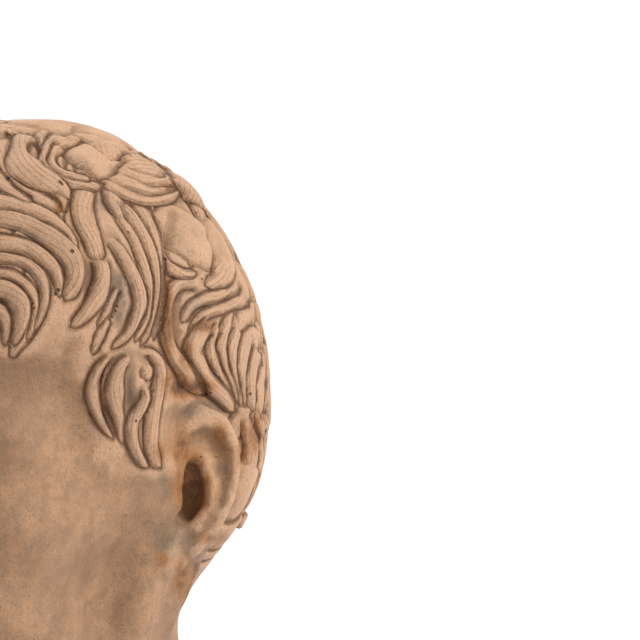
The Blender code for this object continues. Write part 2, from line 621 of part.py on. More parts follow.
def split_quads(mesh):
    whole = bmesh.new()
    whole.from_mesh(mesh)
    bmesh.ops.triangulate(whole, faces=whole.faces)
    whole.to_mesh(mesh)
    whole.free()


def bust(collection):
    points, quads = carved_net()
    mesh = mesh_from("bust", points * UNIT + np.array([0.0, 0.0, EAR_HEIGHT]), quads)
    split_quads(mesh)
    figure = bpy.data.objects.new("bust", mesh)
    collection.objects.link(figure)
    figure.data.materials.append(clay_material())
    plain = figure.vertex_groups.new(name="Plain")
    face = np.exp(-(((points - FACE_MIDDLE) / FACE_REACH) ** 2).sum(1) ** 2)
    for share in range(10):
        chosen = np.nonzero((face >= share / 10) & (face < (share + 1) / 10 + (share == 9)))[0]
        plain.add(chosen.tolist(), 1.0 - 0.09 * share, "REPLACE")
    thin = figure.modifiers.new("Thin out", "DECIMATE")
    thin.ratio = FACES / len(mesh.polygons)
    thin.vertex_group = "Plain"
    thin.vertex_group_factor = FACE_KEPT
    figure.data.shade_smooth()
    return figure


def main():
    for old in list(bpy.data.objects):
        bpy.data.objects.remove(old)
    collection = bpy.data.collections.new("Earthenware bust")
    bpy.context.scene.collection.children.link(collection)
    bust(collection)


if __name__ == "__main__":
    main()
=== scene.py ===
import math

import bmesh
import bpy
import numpy as np
from mathutils import Matrix, Vector
from mathutils.bvhtree import BVHTree


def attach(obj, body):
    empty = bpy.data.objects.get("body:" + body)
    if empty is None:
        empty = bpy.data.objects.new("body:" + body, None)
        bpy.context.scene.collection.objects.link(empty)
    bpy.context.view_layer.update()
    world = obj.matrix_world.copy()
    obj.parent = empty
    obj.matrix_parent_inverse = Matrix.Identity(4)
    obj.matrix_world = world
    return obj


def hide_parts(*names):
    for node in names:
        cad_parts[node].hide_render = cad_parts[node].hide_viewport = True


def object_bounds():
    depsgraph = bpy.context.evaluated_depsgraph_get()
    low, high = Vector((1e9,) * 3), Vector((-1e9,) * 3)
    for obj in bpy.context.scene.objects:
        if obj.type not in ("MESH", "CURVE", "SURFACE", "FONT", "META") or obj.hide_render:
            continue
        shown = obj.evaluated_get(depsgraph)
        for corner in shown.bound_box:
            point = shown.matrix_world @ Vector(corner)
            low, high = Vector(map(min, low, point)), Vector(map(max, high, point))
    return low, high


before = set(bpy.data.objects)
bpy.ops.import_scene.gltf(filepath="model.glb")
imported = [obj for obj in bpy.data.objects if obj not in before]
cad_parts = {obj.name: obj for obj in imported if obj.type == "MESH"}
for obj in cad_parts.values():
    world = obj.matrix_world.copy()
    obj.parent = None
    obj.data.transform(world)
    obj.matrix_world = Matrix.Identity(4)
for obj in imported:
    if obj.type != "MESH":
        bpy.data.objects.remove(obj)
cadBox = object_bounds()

# The head is worked in millimetres from a point between the ears: +X the figure's left, -Y the way it looks
bustSizes = {
    "earHeight": 0.235,         # middle of the ears above the underside, metres
    "chestWidth": 0.250,
    "chestDepth": 0.172,
    "chestMiddle": 14.0,
    "floor": -235.0,
}


def ellipsoid(p, centre, radii, turnX=0.0, turnZ=0.0):
    q = p - np.array(centre, float)
    if turnZ:
        c, s = math.cos(math.radians(turnZ)), math.sin(math.radians(turnZ))
        q = np.stack([q[:, 0] * c + q[:, 1] * s, -q[:, 0] * s + q[:, 1] * c, q[:, 2]], 1)
    if turnX:
        c, s = math.cos(math.radians(turnX)), math.sin(math.radians(turnX))
        q = np.stack([q[:, 0], q[:, 1] * c + q[:, 2] * s, -q[:, 1] * s + q[:, 2] * c], 1)
    r = np.array(radii, float)
    k0 = np.linalg.norm(q / r, axis=1)
    k1 = np.linalg.norm(q / (r * r), axis=1) + 1e-9
    return k0 * (k0 - 1.0) / k1


def roll(p, a, b, ra, rb):
    a, b = np.array(a, float), np.array(b, float)
    ab = b - a
    t = np.clip((p - a) @ ab / (ab @ ab), 0.0, 1.0)
    return np.linalg.norm(p - a - t[:, None] * ab, axis=1) - (ra + (rb - ra) * t)


def rolls(p, points, radii):
    d = None
    for i in range(len(points) - 1):
        piece = roll(p, points[i], points[i + 1], radii[i], radii[i + 1])
        d = piece if d is None else np.minimum(d, piece)
    return d


def add(d, e, soft):
    h = np.clip(0.5 + 0.5 * (d - e) / soft, 0.0, 1.0)
    return d + (e - d) * h - soft * h * (1.0 - h)


def carve(d, e, soft):
    h = np.clip(0.5 - 0.5 * (d + e) / soft, 0.0, 1.0)
    return d + (-e - d) * h + soft * h * (1.0 - h)


def smooth(x, lo, hi):
    t = np.clip((x - lo) / (hi - lo), 0.0, 1.0)
    return t * t * (3.0 - 2.0 * t)


def skull(p):
    d = ellipsoid(p, (0, 19, 33.5), (74, 77, 88))
    d = add(d, ellipsoid(p, (0, -30, 38), (63, 64, 84)), 24)
    d = add(d, ellipsoid(p, (0, -4, 45.5), (64, 82, 81)), 16)
    return add(d, ellipsoid(p, (0, 33, 8), (58, 54, 42)), 20)


def faceMass(p, m):
    d = ellipsoid(p, (0, -46, -4), (59, 47, 58))
    d = add(d, ellipsoid(p, (0, -50, -60), (42, 41, 41)), 24)
    jaw = [(61, 2, -14), (54, -6, -54), (36, -44, -80), (13, -78, -88)]
    d = add(d, rolls(m, jaw, [9, 10, 10, 12]), 22)
    d = add(d, ellipsoid(m, (40, -52, -34), (20, 30, 30), turnZ=20), 22)
    d = add(d, ellipsoid(m, (47, -52, -8), (17, 26, 14), turnZ=28), 20)
    d = add(d, roll(m, (50, -46, -5), (66, 0, 3), 9, 7), 14)
    d = add(d, ellipsoid(p, (0, -77, -50), (31, 24, 29)), 16)
    return add(d, ellipsoid(p, (0, -85, -86), (19, 16, 15)), 12)


def brows(d, p, m):
    d = add(d, ellipsoid(m, (34, -66, 25), (26, 22, 12)), 12)
    d = add(d, rolls(m, [(5, -88, 28), (24, -88, 32), (42, -78, 31), (54, -62, 22)], [7, 7, 6.5, 6]), 10)
    d = carve(d, ellipsoid(m, (31, -99, 13.5), (18, 20, 12), turnZ=12), 9)
    return carve(d, ellipsoid(m, (16, -97, 14), (6, 9, 9)), 8)


def eyes(d, p, m):
    ball = np.linalg.norm(m - np.array([31.5, -73.6, 12.5]), axis=1)
    across = m[:, 0] - 31.0
    upper = np.hypot(across, m[:, 2] + 1.6) - 20.6
    lower = np.hypot(across, m[:, 2] - 34.0) - 27.2
    opening = add(-upper, -lower, 1.5)
    lids = -add(16.6 - ball, -opening, 1.6)
    d = add(d, lids, 4.0)
    return add(d, ball - 13.9, 0.8)


def nose(d, p, m):
    d = add(d, ellipsoid(p, (0, -90, -8), (14, 15, 26)), 9)
    bridge = [(0, -85, 27), (0, -91.5, 12), (0, -103, -8), (0, -109, -19)]
    d = add(d, rolls(p, bridge, [9.5, 7.6, 7.8, 8.4]), 8)
    d = add(d, ellipsoid(p, (0, -109.5, -22), (9.4, 8.8, 8.0)), 5)
    d = add(d, ellipsoid(m, (10.4, -98.5, -25.5), (6.8, 12.0, 8.0), turnZ=10), 6)
    d = add(d, roll(p, (0, -110, -27), (0, -98, -33), 3.4, 3.8), 4)
    d = carve(d, ellipsoid(m, (6.6, -103.5, -34.2), (3.4, 6.4, 4.2), turnZ=-18), 2.2)
    return carve(d, rolls(m, [(18.5, -94, -31), (19.6, -92, -24), (16.5, -94, -18)], [0.8, 0.9, 0.5]), 4.0)


def mouth(d, p, m):
    upper = [(0, -99.3, -49.4), (5.5, -100.0, -48.6), (15, -96.3, -51.6), (25, -88.5, -55.6)]
    lower = [(0, -98.2, -62), (9, -97.6, -61.6), (18, -92.5, -59.4), (24, -88, -57)]
    parting = [(0, -105.5, -56.4), (6, -105, -55.4), (15, -101, -55.9), (24, -93.5, -56.8), (27, -90, -57.6)]
    d = add(d, rolls(m, upper, [4.2, 4.6, 3.9, 1.8]), 3.2)
    d = add(d, rolls(m, lower, [5.4, 5.0, 3.4, 1.6]), 3.2)
    d = carve(d, rolls(m, parting, [0.8, 0.9, 0.9, 1.0, 1.2]), 2.2)
    d = carve(d, roll(p, (0, -105.5, -37), (0, -105.5, -44.5), 1.8, 2.2), 3.0)
    d = carve(d, ellipsoid(p, (0, -104.5, -72.5), (15, 7, 3.6)), 7)
    return carve(d, ellipsoid(m, (28.5, -94, -57.5), (2.4, 3.2, 3.8)), 6)


def neck(p, m):
    d = roll(p, (0, 3, -50), (0, 18, -175), 48, 53)
    d = add(d, rolls(m, [(57, 22, -22), (47, 6, -76), (24, -24, -134), (9, -36, -158)], [9, 9, 9, 7]), 10)
    d = add(d, ellipsoid(p, (0, -40, -108), (12, 12, 20)), 14)
    shoulder = [(17, 42, -40), (23, 42, -100), (58, 38, -152), (128, 26, -196)]
    return add(d, rolls(m, shoulder, [13, 16, 19, 18]), 26)


def chest(d, p, m):
    halfWidth, halfDepth = bustSizes["chestWidth"] * 500.0, bustSizes["chestDepth"] * 500.0
    middle, floor = bustSizes["chestMiddle"], bustSizes["floor"]
    d = add(d, ellipsoid(p, (0, middle, floor - 24), (halfWidth * 1.34, halfDepth * 1.1, 112)), 26)
    collarbone = [(13, -43, -164), (44, -44, -169), (78, -30, -173), (108, -6, -178)]
    d = add(d, rolls(m, collarbone, [4.2, 4, 4, 4]), 18)
    d = carve(d, ellipsoid(p, (0, -60, -160), (9, 12, 12)), 9)
    x, y = m[:, 0] / halfWidth, (p[:, 1] - middle) / halfDepth
    trim = ((x ** 5 + np.abs(y) ** 5) ** 0.2 - 1.0) * halfDepth
    trim = np.where(p[:, 2] < -126.0, trim, np.minimum(trim, -20.0))
    d = carve(d, -trim, 7)
    return np.maximum(d, floor - p[:, 2])


earShape = {
    "at": (77.0, 14.0, 0.0),
    "flare": 25.0,              # degrees
    "rubs": 14,                 # rounds of evening out once the clay is carved
}


def inEarPlane(m):
    c, s = math.cos(math.radians(earShape["flare"])), math.sin(math.radians(earShape["flare"]))
    q = m - np.array(earShape["at"])
    return np.stack([q[:, 0] * s + q[:, 1] * c, q[:, 2], q[:, 0] * c - q[:, 1] * s], 1)    # back, up, out


def ear(d, m):
    e = inEarPlane(m)
    d = add(d, ellipsoid(e, (-2, 4, -7), (15, 28, 8)), 5)
    d = add(d, ellipsoid(e, (-12, -21, -4.5), (8.5, 10.5, 5.5)), 4)
    rim = [(-13, 6, -2.5), (-13, 15, -1), (-9, 24, 0), (-2, 28, 0.5), (6, 25, 1), (11, 17, 1.5),
           (12, 8, 1.5), (10, -2, 1), (5, -12, 0), (-3, -21, -2)]
    furrow = [(-5, 20, 3.2), (2, 20.5, 3.0), (7.2, 14, 3.5), (8, 6, 3.4), (5.5, -4, 2.6)]
    fold = [(-4, 16, -3), (0, 12, -1.2), (3.5, 3, -0.6), (2.5, -6, -0.6), (-3, -12.5, -0.5)]
    d = add(d, rolls(e, rim, [3.4, 3.8, 4.4, 4.6, 4.0, 3.2, 2.8, 2.8, 3.0, 3.4]), 2.5)
    d = carve(d, rolls(e, furrow, [2.6, 3.0, 2.4, 1.9, 1.6]), 2.0)
    backing = [(-2, 21, -4.0), (6, 17, -4.0), (9, 8, -4.0), (6, -4, -4.5)]      # closes the furrow's back
    d = add(d, rolls(e, backing, [4.0, 4.0, 4.0, 3.6]), 2.0)
    d = carve(d, ellipsoid(e, (-4, 0, 1.0), (6.6, 12.5, 8.5)), 2.5)
    d = carve(d, ellipsoid(e, (-5, -6, -2.0), (4.6, 5.5, 5.6)), 2.0)
    d = add(d, rolls(e, fold, [3, 3, 2.4, 2.4, 2.6]), 2.5)
    d = add(d, rolls(e, [(-12, 5, -2.5), (-6, 4.5, -6)], [2.4, 2.0]), 2.5)
    d = add(d, ellipsoid(e, (-12.8, -2, -1.6), (4.6, 6.0, 4.0)), 3)
    return carve(d, ellipsoid(e, (-9.5, -10, 2.5), (2.6, 3.2, 4.5)), 1.5)


# Where the hair stops: degrees round from the front, heights above the middle of the ear
hairCap = {
    "turn": [0, 20, 40, 51, 55, 58, 64, 80, 88, 92, 100, 108, 114, 120, 150, 180],
    "height": [57, 55, 52, 50, 42, 14, 8, 5, 6, 26, 30, 26, -5, -42, -56, -60],
    "perDegree": 1.5,           # millimetres round the head
    "deep": 5.0,                # of the hair above the scalp
    "atEar": 3.0,               # of the hair where it passes close round the ear
}


def aboveHairline(p):
    turn = np.degrees(np.arctan2(np.abs(p[:, 0]), -p[:, 1]))
    around, far = turn * hairCap["perDegree"], np.full(len(p), 1e9)
    line = np.stack([np.array(hairCap["turn"]) * hairCap["perDegree"], np.array(hairCap["height"])], 1)
    for start, end in zip(line[:-1], line[1:]):
        way = end - start
        t = np.clip(((around - start[0]) * way[0] + (p[:, 2] - start[1]) * way[1]) / (way @ way), 0.0, 1.0)
        far = np.minimum(far, np.hypot(around - start[0] - t * way[0], p[:, 2] - start[1] - t * way[1]))
    return far * np.sign(p[:, 2] - np.interp(turn, hairCap["turn"], hairCap["height"]))


def fromEar(m):
    e = inEarPlane(m)
    inward = np.clip((45.0 - m[:, 0]) / 10.0, 0.0, 9.0)
    return np.hypot((e[:, 0] + 1.0) / 19.0, (e[:, 1] - 1.0) / 37.0) + inward


def hairThickness(p, m):
    above = aboveHairline(p)
    full = hairCap["atEar"] + (hairCap["deep"] - hairCap["atEar"]) * smooth(fromEar(m), 1.0, 1.5)
    return full * smooth(above, -7.0, 19.0)


# Each form is only worked out where it reaches: lowest and highest corner, on the left half
reach = {
    "face": ((-1, -140, -105), (78, -36, 66)),
    "neck": ((-1, -140, -300), (200, 140, 24)),
    "hair": ((-1, -140, -78), (200, 140, 200)),
    "ear": ((46, -24, -50), (110, 56, 52)),
    "chest": ((-1, -140, -300), (200, 140, -98)),
}


def inReach(m, name):
    low, high = reach[name]
    return np.nonzero(np.all((m > low) & (m < high), axis=1))[0]


def clay(p):
    m = p.copy()
    m[:, 0] = np.abs(m[:, 0])
    d = add(skull(p), faceMass(p, m), 22)
    at = inReach(m, "face")
    if len(at):
        f, pf, mf = d[at], p[at], m[at]
        for form in (brows, nose, mouth, eyes):
            f = form(f, pf, mf)
        d[at] = f
    at = inReach(m, "neck")
    if len(at):
        d[at] = add(d[at], neck(p[at], m[at]), 16)
    at = inReach(m, "hair")
    if len(at):
        d[at] = d[at] - hairThickness(p[at], m[at])
    at = inReach(m, "ear")
    if len(at):
        d[at] = ear(d[at], m[at])
    at = inReach(m, "chest")
    if len(at):
        d[at] = chest(d[at], p[at], m[at])
    return d


# The net that skins the clay: knots every headStep over the head, wider apart below
netSizes = {
    "headStep": 1.35,
    "chestStep": 3.0,
    "headFrom": -68.0,
    "side": 128.0, "headSide": 100.0,
    "front": -126.0, "back": 119.0,
    "top": 140.0,
    "seen": ((6, -100, -66), (104, 96, 142)),   # twice as fine here, where the locks are cut finest
    "triangles": 196000,        # that the finished bust keeps
    "seenKept": 0.004,          # how hard the seen side holds on to its triangles when the net is thinned
}


def steps(marks, sizes):
    line = [marks[0]]
    for size, end in zip(sizes, marks[1:]):
        count = max(1, int(math.ceil((end - line[-1]) / size)))
        line.extend(np.linspace(line[-1], end, count + 1)[1:])
    return np.array(line)


def netLines():
    n = netSizes
    wide, close = n["chestStep"], n["headStep"]
    x = steps([-n["side"], -n["headSide"], n["headSide"], n["side"]], [wide, close, wide])
    y = steps([n["front"], n["back"]], [close])
    z = steps([bustSizes["floor"] - 4.0, n["headFrom"], n["top"]], [wide, close])
    return x, y, z


def gridValues(field, lines):
    near = 4
    blocks = [-(-len(line) // near) for line in lines]
    mids = [np.interp(np.arange(b) * near + near / 2, np.arange(len(line)), line)
            for b, line in zip(blocks, lines)]
    centre = np.stack(np.meshgrid(*mids, indexing="ij"), -1).reshape(-1, 3)
    coarse = field(centre).reshape(blocks)
    wide = np.sqrt(sum(np.square(np.meshgrid(*[np.gradient(mid) for mid in mids], indexing="ij")))) * 0.62
    values = coarse
    for axis in range(3):
        values = np.repeat(values, near, axis=axis)
    values = values[:len(lines[0]), :len(lines[1]), :len(lines[2])].copy()
    offset = np.stack(np.meshgrid(*[np.arange(near)] * 3, indexing="ij"), -1).reshape(-1, 3)
    index = (np.argwhere(np.abs(coarse) < wide + 1.5)[:, None, :] * near + offset).reshape(-1, 3)
    index = index[np.all(index < [len(line) for line in lines], axis=1)]
    places = np.stack([line[index[:, axis]] for axis, line in enumerate(lines)], 1)
    for part in np.array_split(np.arange(len(index)), max(1, len(index) // 200000)):
        values[tuple(index[part].T)] = field(places[part])
    return values


corners = [(i, j, k) for i in (0, 1) for j in (0, 1) for k in (0, 1)]


def hangsTogether(chosen):
    reached = chosen[:1]
    for _ in range(7):
        reached = [c for c in chosen if any(sum(abs(x - y) for x, y in zip(c, r)) <= 1 for r in reached)]
    return len(reached) == len(chosen)


def untangle(values):
    tangled = np.zeros(256, bool)       # patterns of a cell's corners that would make the net touch itself
    for pattern in range(256):
        inner = [c for bit, c in enumerate(corners) if pattern >> bit & 1]
        outer = [c for c in corners if c not in inner]
        tangled[pattern] = not (hangsTogether(inner) and hangsTogether(outer))
    cells = [n - 1 for n in values.shape]
    for _ in range(12):
        pattern = np.zeros(cells, np.int16)
        for bit, c in enumerate(corners):
            inner = values[c[0]:c[0] + cells[0], c[1]:c[1] + cells[1], c[2]:c[2] + cells[2]] < 0.0
            pattern += inner.astype(np.int16) << bit
        turned = {min((tuple(cell + c) for c in corners), key=lambda corner: abs(values[corner]))
                  for cell in np.argwhere(tangled[pattern])}
        for at in turned:
            values[at] = -values[at] if values[at] else 1e-3
        if not turned:
            break
    return values


def netOver(field, lines):
    values = untangle(gridValues(field, lines))
    inside = values < 0.0
    cells = tuple(n - 1 for n in values.shape)
    held = np.zeros(cells, np.int8)
    for c in corners:
        held += inside[tuple(slice(o, o + n) for o, n in zip(c, cells))]
    active = (held > 0) & (held < 8)
    index = np.argwhere(active)
    knots, crossings = np.zeros((len(index), 3)), np.zeros(len(index))
    for a in corners:
        for axis in range(3):
            if a[axis]:
                continue
            b = list(a)
            b[axis] = 1
            va, vb = values[tuple((index + a).T)], values[tuple((index + b).T)]
            cut = (va < 0) != (vb < 0)
            t = np.where(cut, va / np.where(cut, va - vb, 1.0), 0.0)
            where = np.array(a, float) + t[:, None] * (np.array(b, float) - np.array(a, float))
            knots += where * cut[:, None]
            crossings += cut
    place = index + knots / crossings[:, None]
    knots = np.stack([np.interp(place[:, axis], np.arange(len(line)), line)
                      for axis, line in enumerate(lines)], 1)
    number = np.full(cells, -1, np.int64)
    number[active] = np.arange(len(index))
    quads = []
    for axis in range(3):
        u, v = [(1, 2), (2, 0), (0, 1)][axis]
        edge = np.argwhere(np.diff(inside, axis=axis))
        edge = edge[(edge[:, u] > 0) & (edge[:, v] > 0) & (edge[:, u] < cells[u]) & (edge[:, v] < cells[v])]
        ring = []
        for du, dv in ((0, 0), (1, 0), (1, 1), (0, 1)):
            at = edge.copy()
            at[:, u] -= du
            at[:, v] -= dv
            ring.append(number[tuple(at.T)])
        quad = np.stack(ring, 1)
        outward = inside[tuple(edge.T)]
        quad[~outward] = quad[~outward][:, ::-1]
        quads.append(quad)
    return knots, np.concatenate(quads)


def pressOnto(field, p, rounds):
    unit = None
    for _ in range(rounds):
        base = field(p)
        slope = np.empty_like(p)
        for axis in range(3):
            moved = p.copy()
            moved[:, axis] += 0.25
            slope[:, axis] = (field(moved) - base) / 0.25
        size = np.maximum((slope ** 2).sum(1), 0.15)
        p = p - np.clip(base / size, -1.5, 1.5)[:, None] * slope
        unit = slope / (np.linalg.norm(slope, axis=1)[:, None] + 1e-9)
    return p, unit


def meshFrom(name, points, faces):
    mesh = bpy.data.meshes.new(name)
    mesh.vertices.add(len(points))
    mesh.vertices.foreach_set("co", np.ascontiguousarray(points, np.float32).ravel())
    mesh.loops.add(faces.size)
    mesh.loops.foreach_set("vertex_index", faces.astype(np.int32).ravel())
    mesh.polygons.add(len(faces))
    mesh.polygons.foreach_set("loop_start", np.arange(0, faces.size, faces.shape[1], dtype=np.int32))
    mesh.update(calc_edges=True)
    mesh.validate()
    return mesh


def pointsOf(mesh):
    flat = np.empty(len(mesh.vertices) * 3, np.float32)
    mesh.vertices.foreach_get("co", flat)
    return flat.reshape(-1, 3).astype(float)


def finerWhereSeen(points, quads):
    mesh = meshFrom("net", points, quads)
    low, high = netSizes["seen"]
    shape = bmesh.new()
    shape.from_mesh(mesh)
    shape.verts.ensure_lookup_table()
    close = np.all((points > low) & (points < high), axis=1)
    edges = [e for e in shape.edges if close[e.verts[0].index] and close[e.verts[1].index]]
    bmesh.ops.subdivide_edges(shape, edges=edges, cuts=1, use_grid_fill=True)
    bmesh.ops.triangulate(shape, faces=shape.faces)
    shape.to_mesh(mesh)
    shape.free()
    return mesh


# The photograph's sheet: the viewer stands off the figure's left temple
view = {
    "turn": 37.0,               # degrees from the front
    "tilt": 4.0,                # degrees above level
    "perMillimetre": 2.65,      # sheet units
    "far": 2000.0,
    "middle": (320.0, 320.0),
    "head": (20.0, 482.0),      # where the point between the ears falls on the sheet
    "sensor": 36.0,
}


def viewerPlace():
    turn, tilt = math.radians(view["turn"]), math.radians(view["tilt"])
    out = np.array([math.sin(turn) * math.cos(tilt), -math.cos(turn) * math.cos(tilt), math.sin(tilt)])
    across = np.array([math.cos(turn), math.sin(turn), 0.0])
    up = np.cross(out, across)
    head = (np.array(view["head"]) - view["middle"]) / view["perMillimetre"]
    middle = -(head[0] * across - head[1] * up)
    return middle + view["far"] * out, across, up, out, middle


def castFromSheet(tree, x, y):
    eye, across, up, _, middle = viewerPlace()
    dx, dy = (x - view["middle"][0]) / view["perMillimetre"], (y - view["middle"][1]) / view["perMillimetre"]
    aim = middle + dx * across - dy * up - eye
    hit = tree.ray_cast(Vector(eye), Vector(aim / np.linalg.norm(aim)))
    return None if hit[0] is None else np.array(hit[0])


def onSheet(p):
    eye, across, up, out, _ = viewerPlace()
    q = p - eye
    depth = -(q @ out) / view["far"]
    x = view["middle"][0] + (q @ across) / depth * view["perMillimetre"]
    y = view["middle"][1] - (q @ up) / depth * view["perMillimetre"]
    return x, y


def spline(points, count):
    p = np.array(points, float)
    p = np.concatenate([[2 * p[0] - p[1]], p, [2 * p[-1] - p[-2]]])
    t = np.linspace(0.0, len(points) - 1.0, count)
    i = np.minimum(t.astype(int), len(points) - 2)
    f = (t - i)[:, None]
    a, b, c, d = p[i], p[i + 1], p[i + 2], p[i + 3]
    bend = (2 * a - 5 * b + 4 * c - d) * f * f
    return 0.5 * (2 * b + (c - a) * f + bend + (3 * b - a - 3 * c + d) * f ** 3)


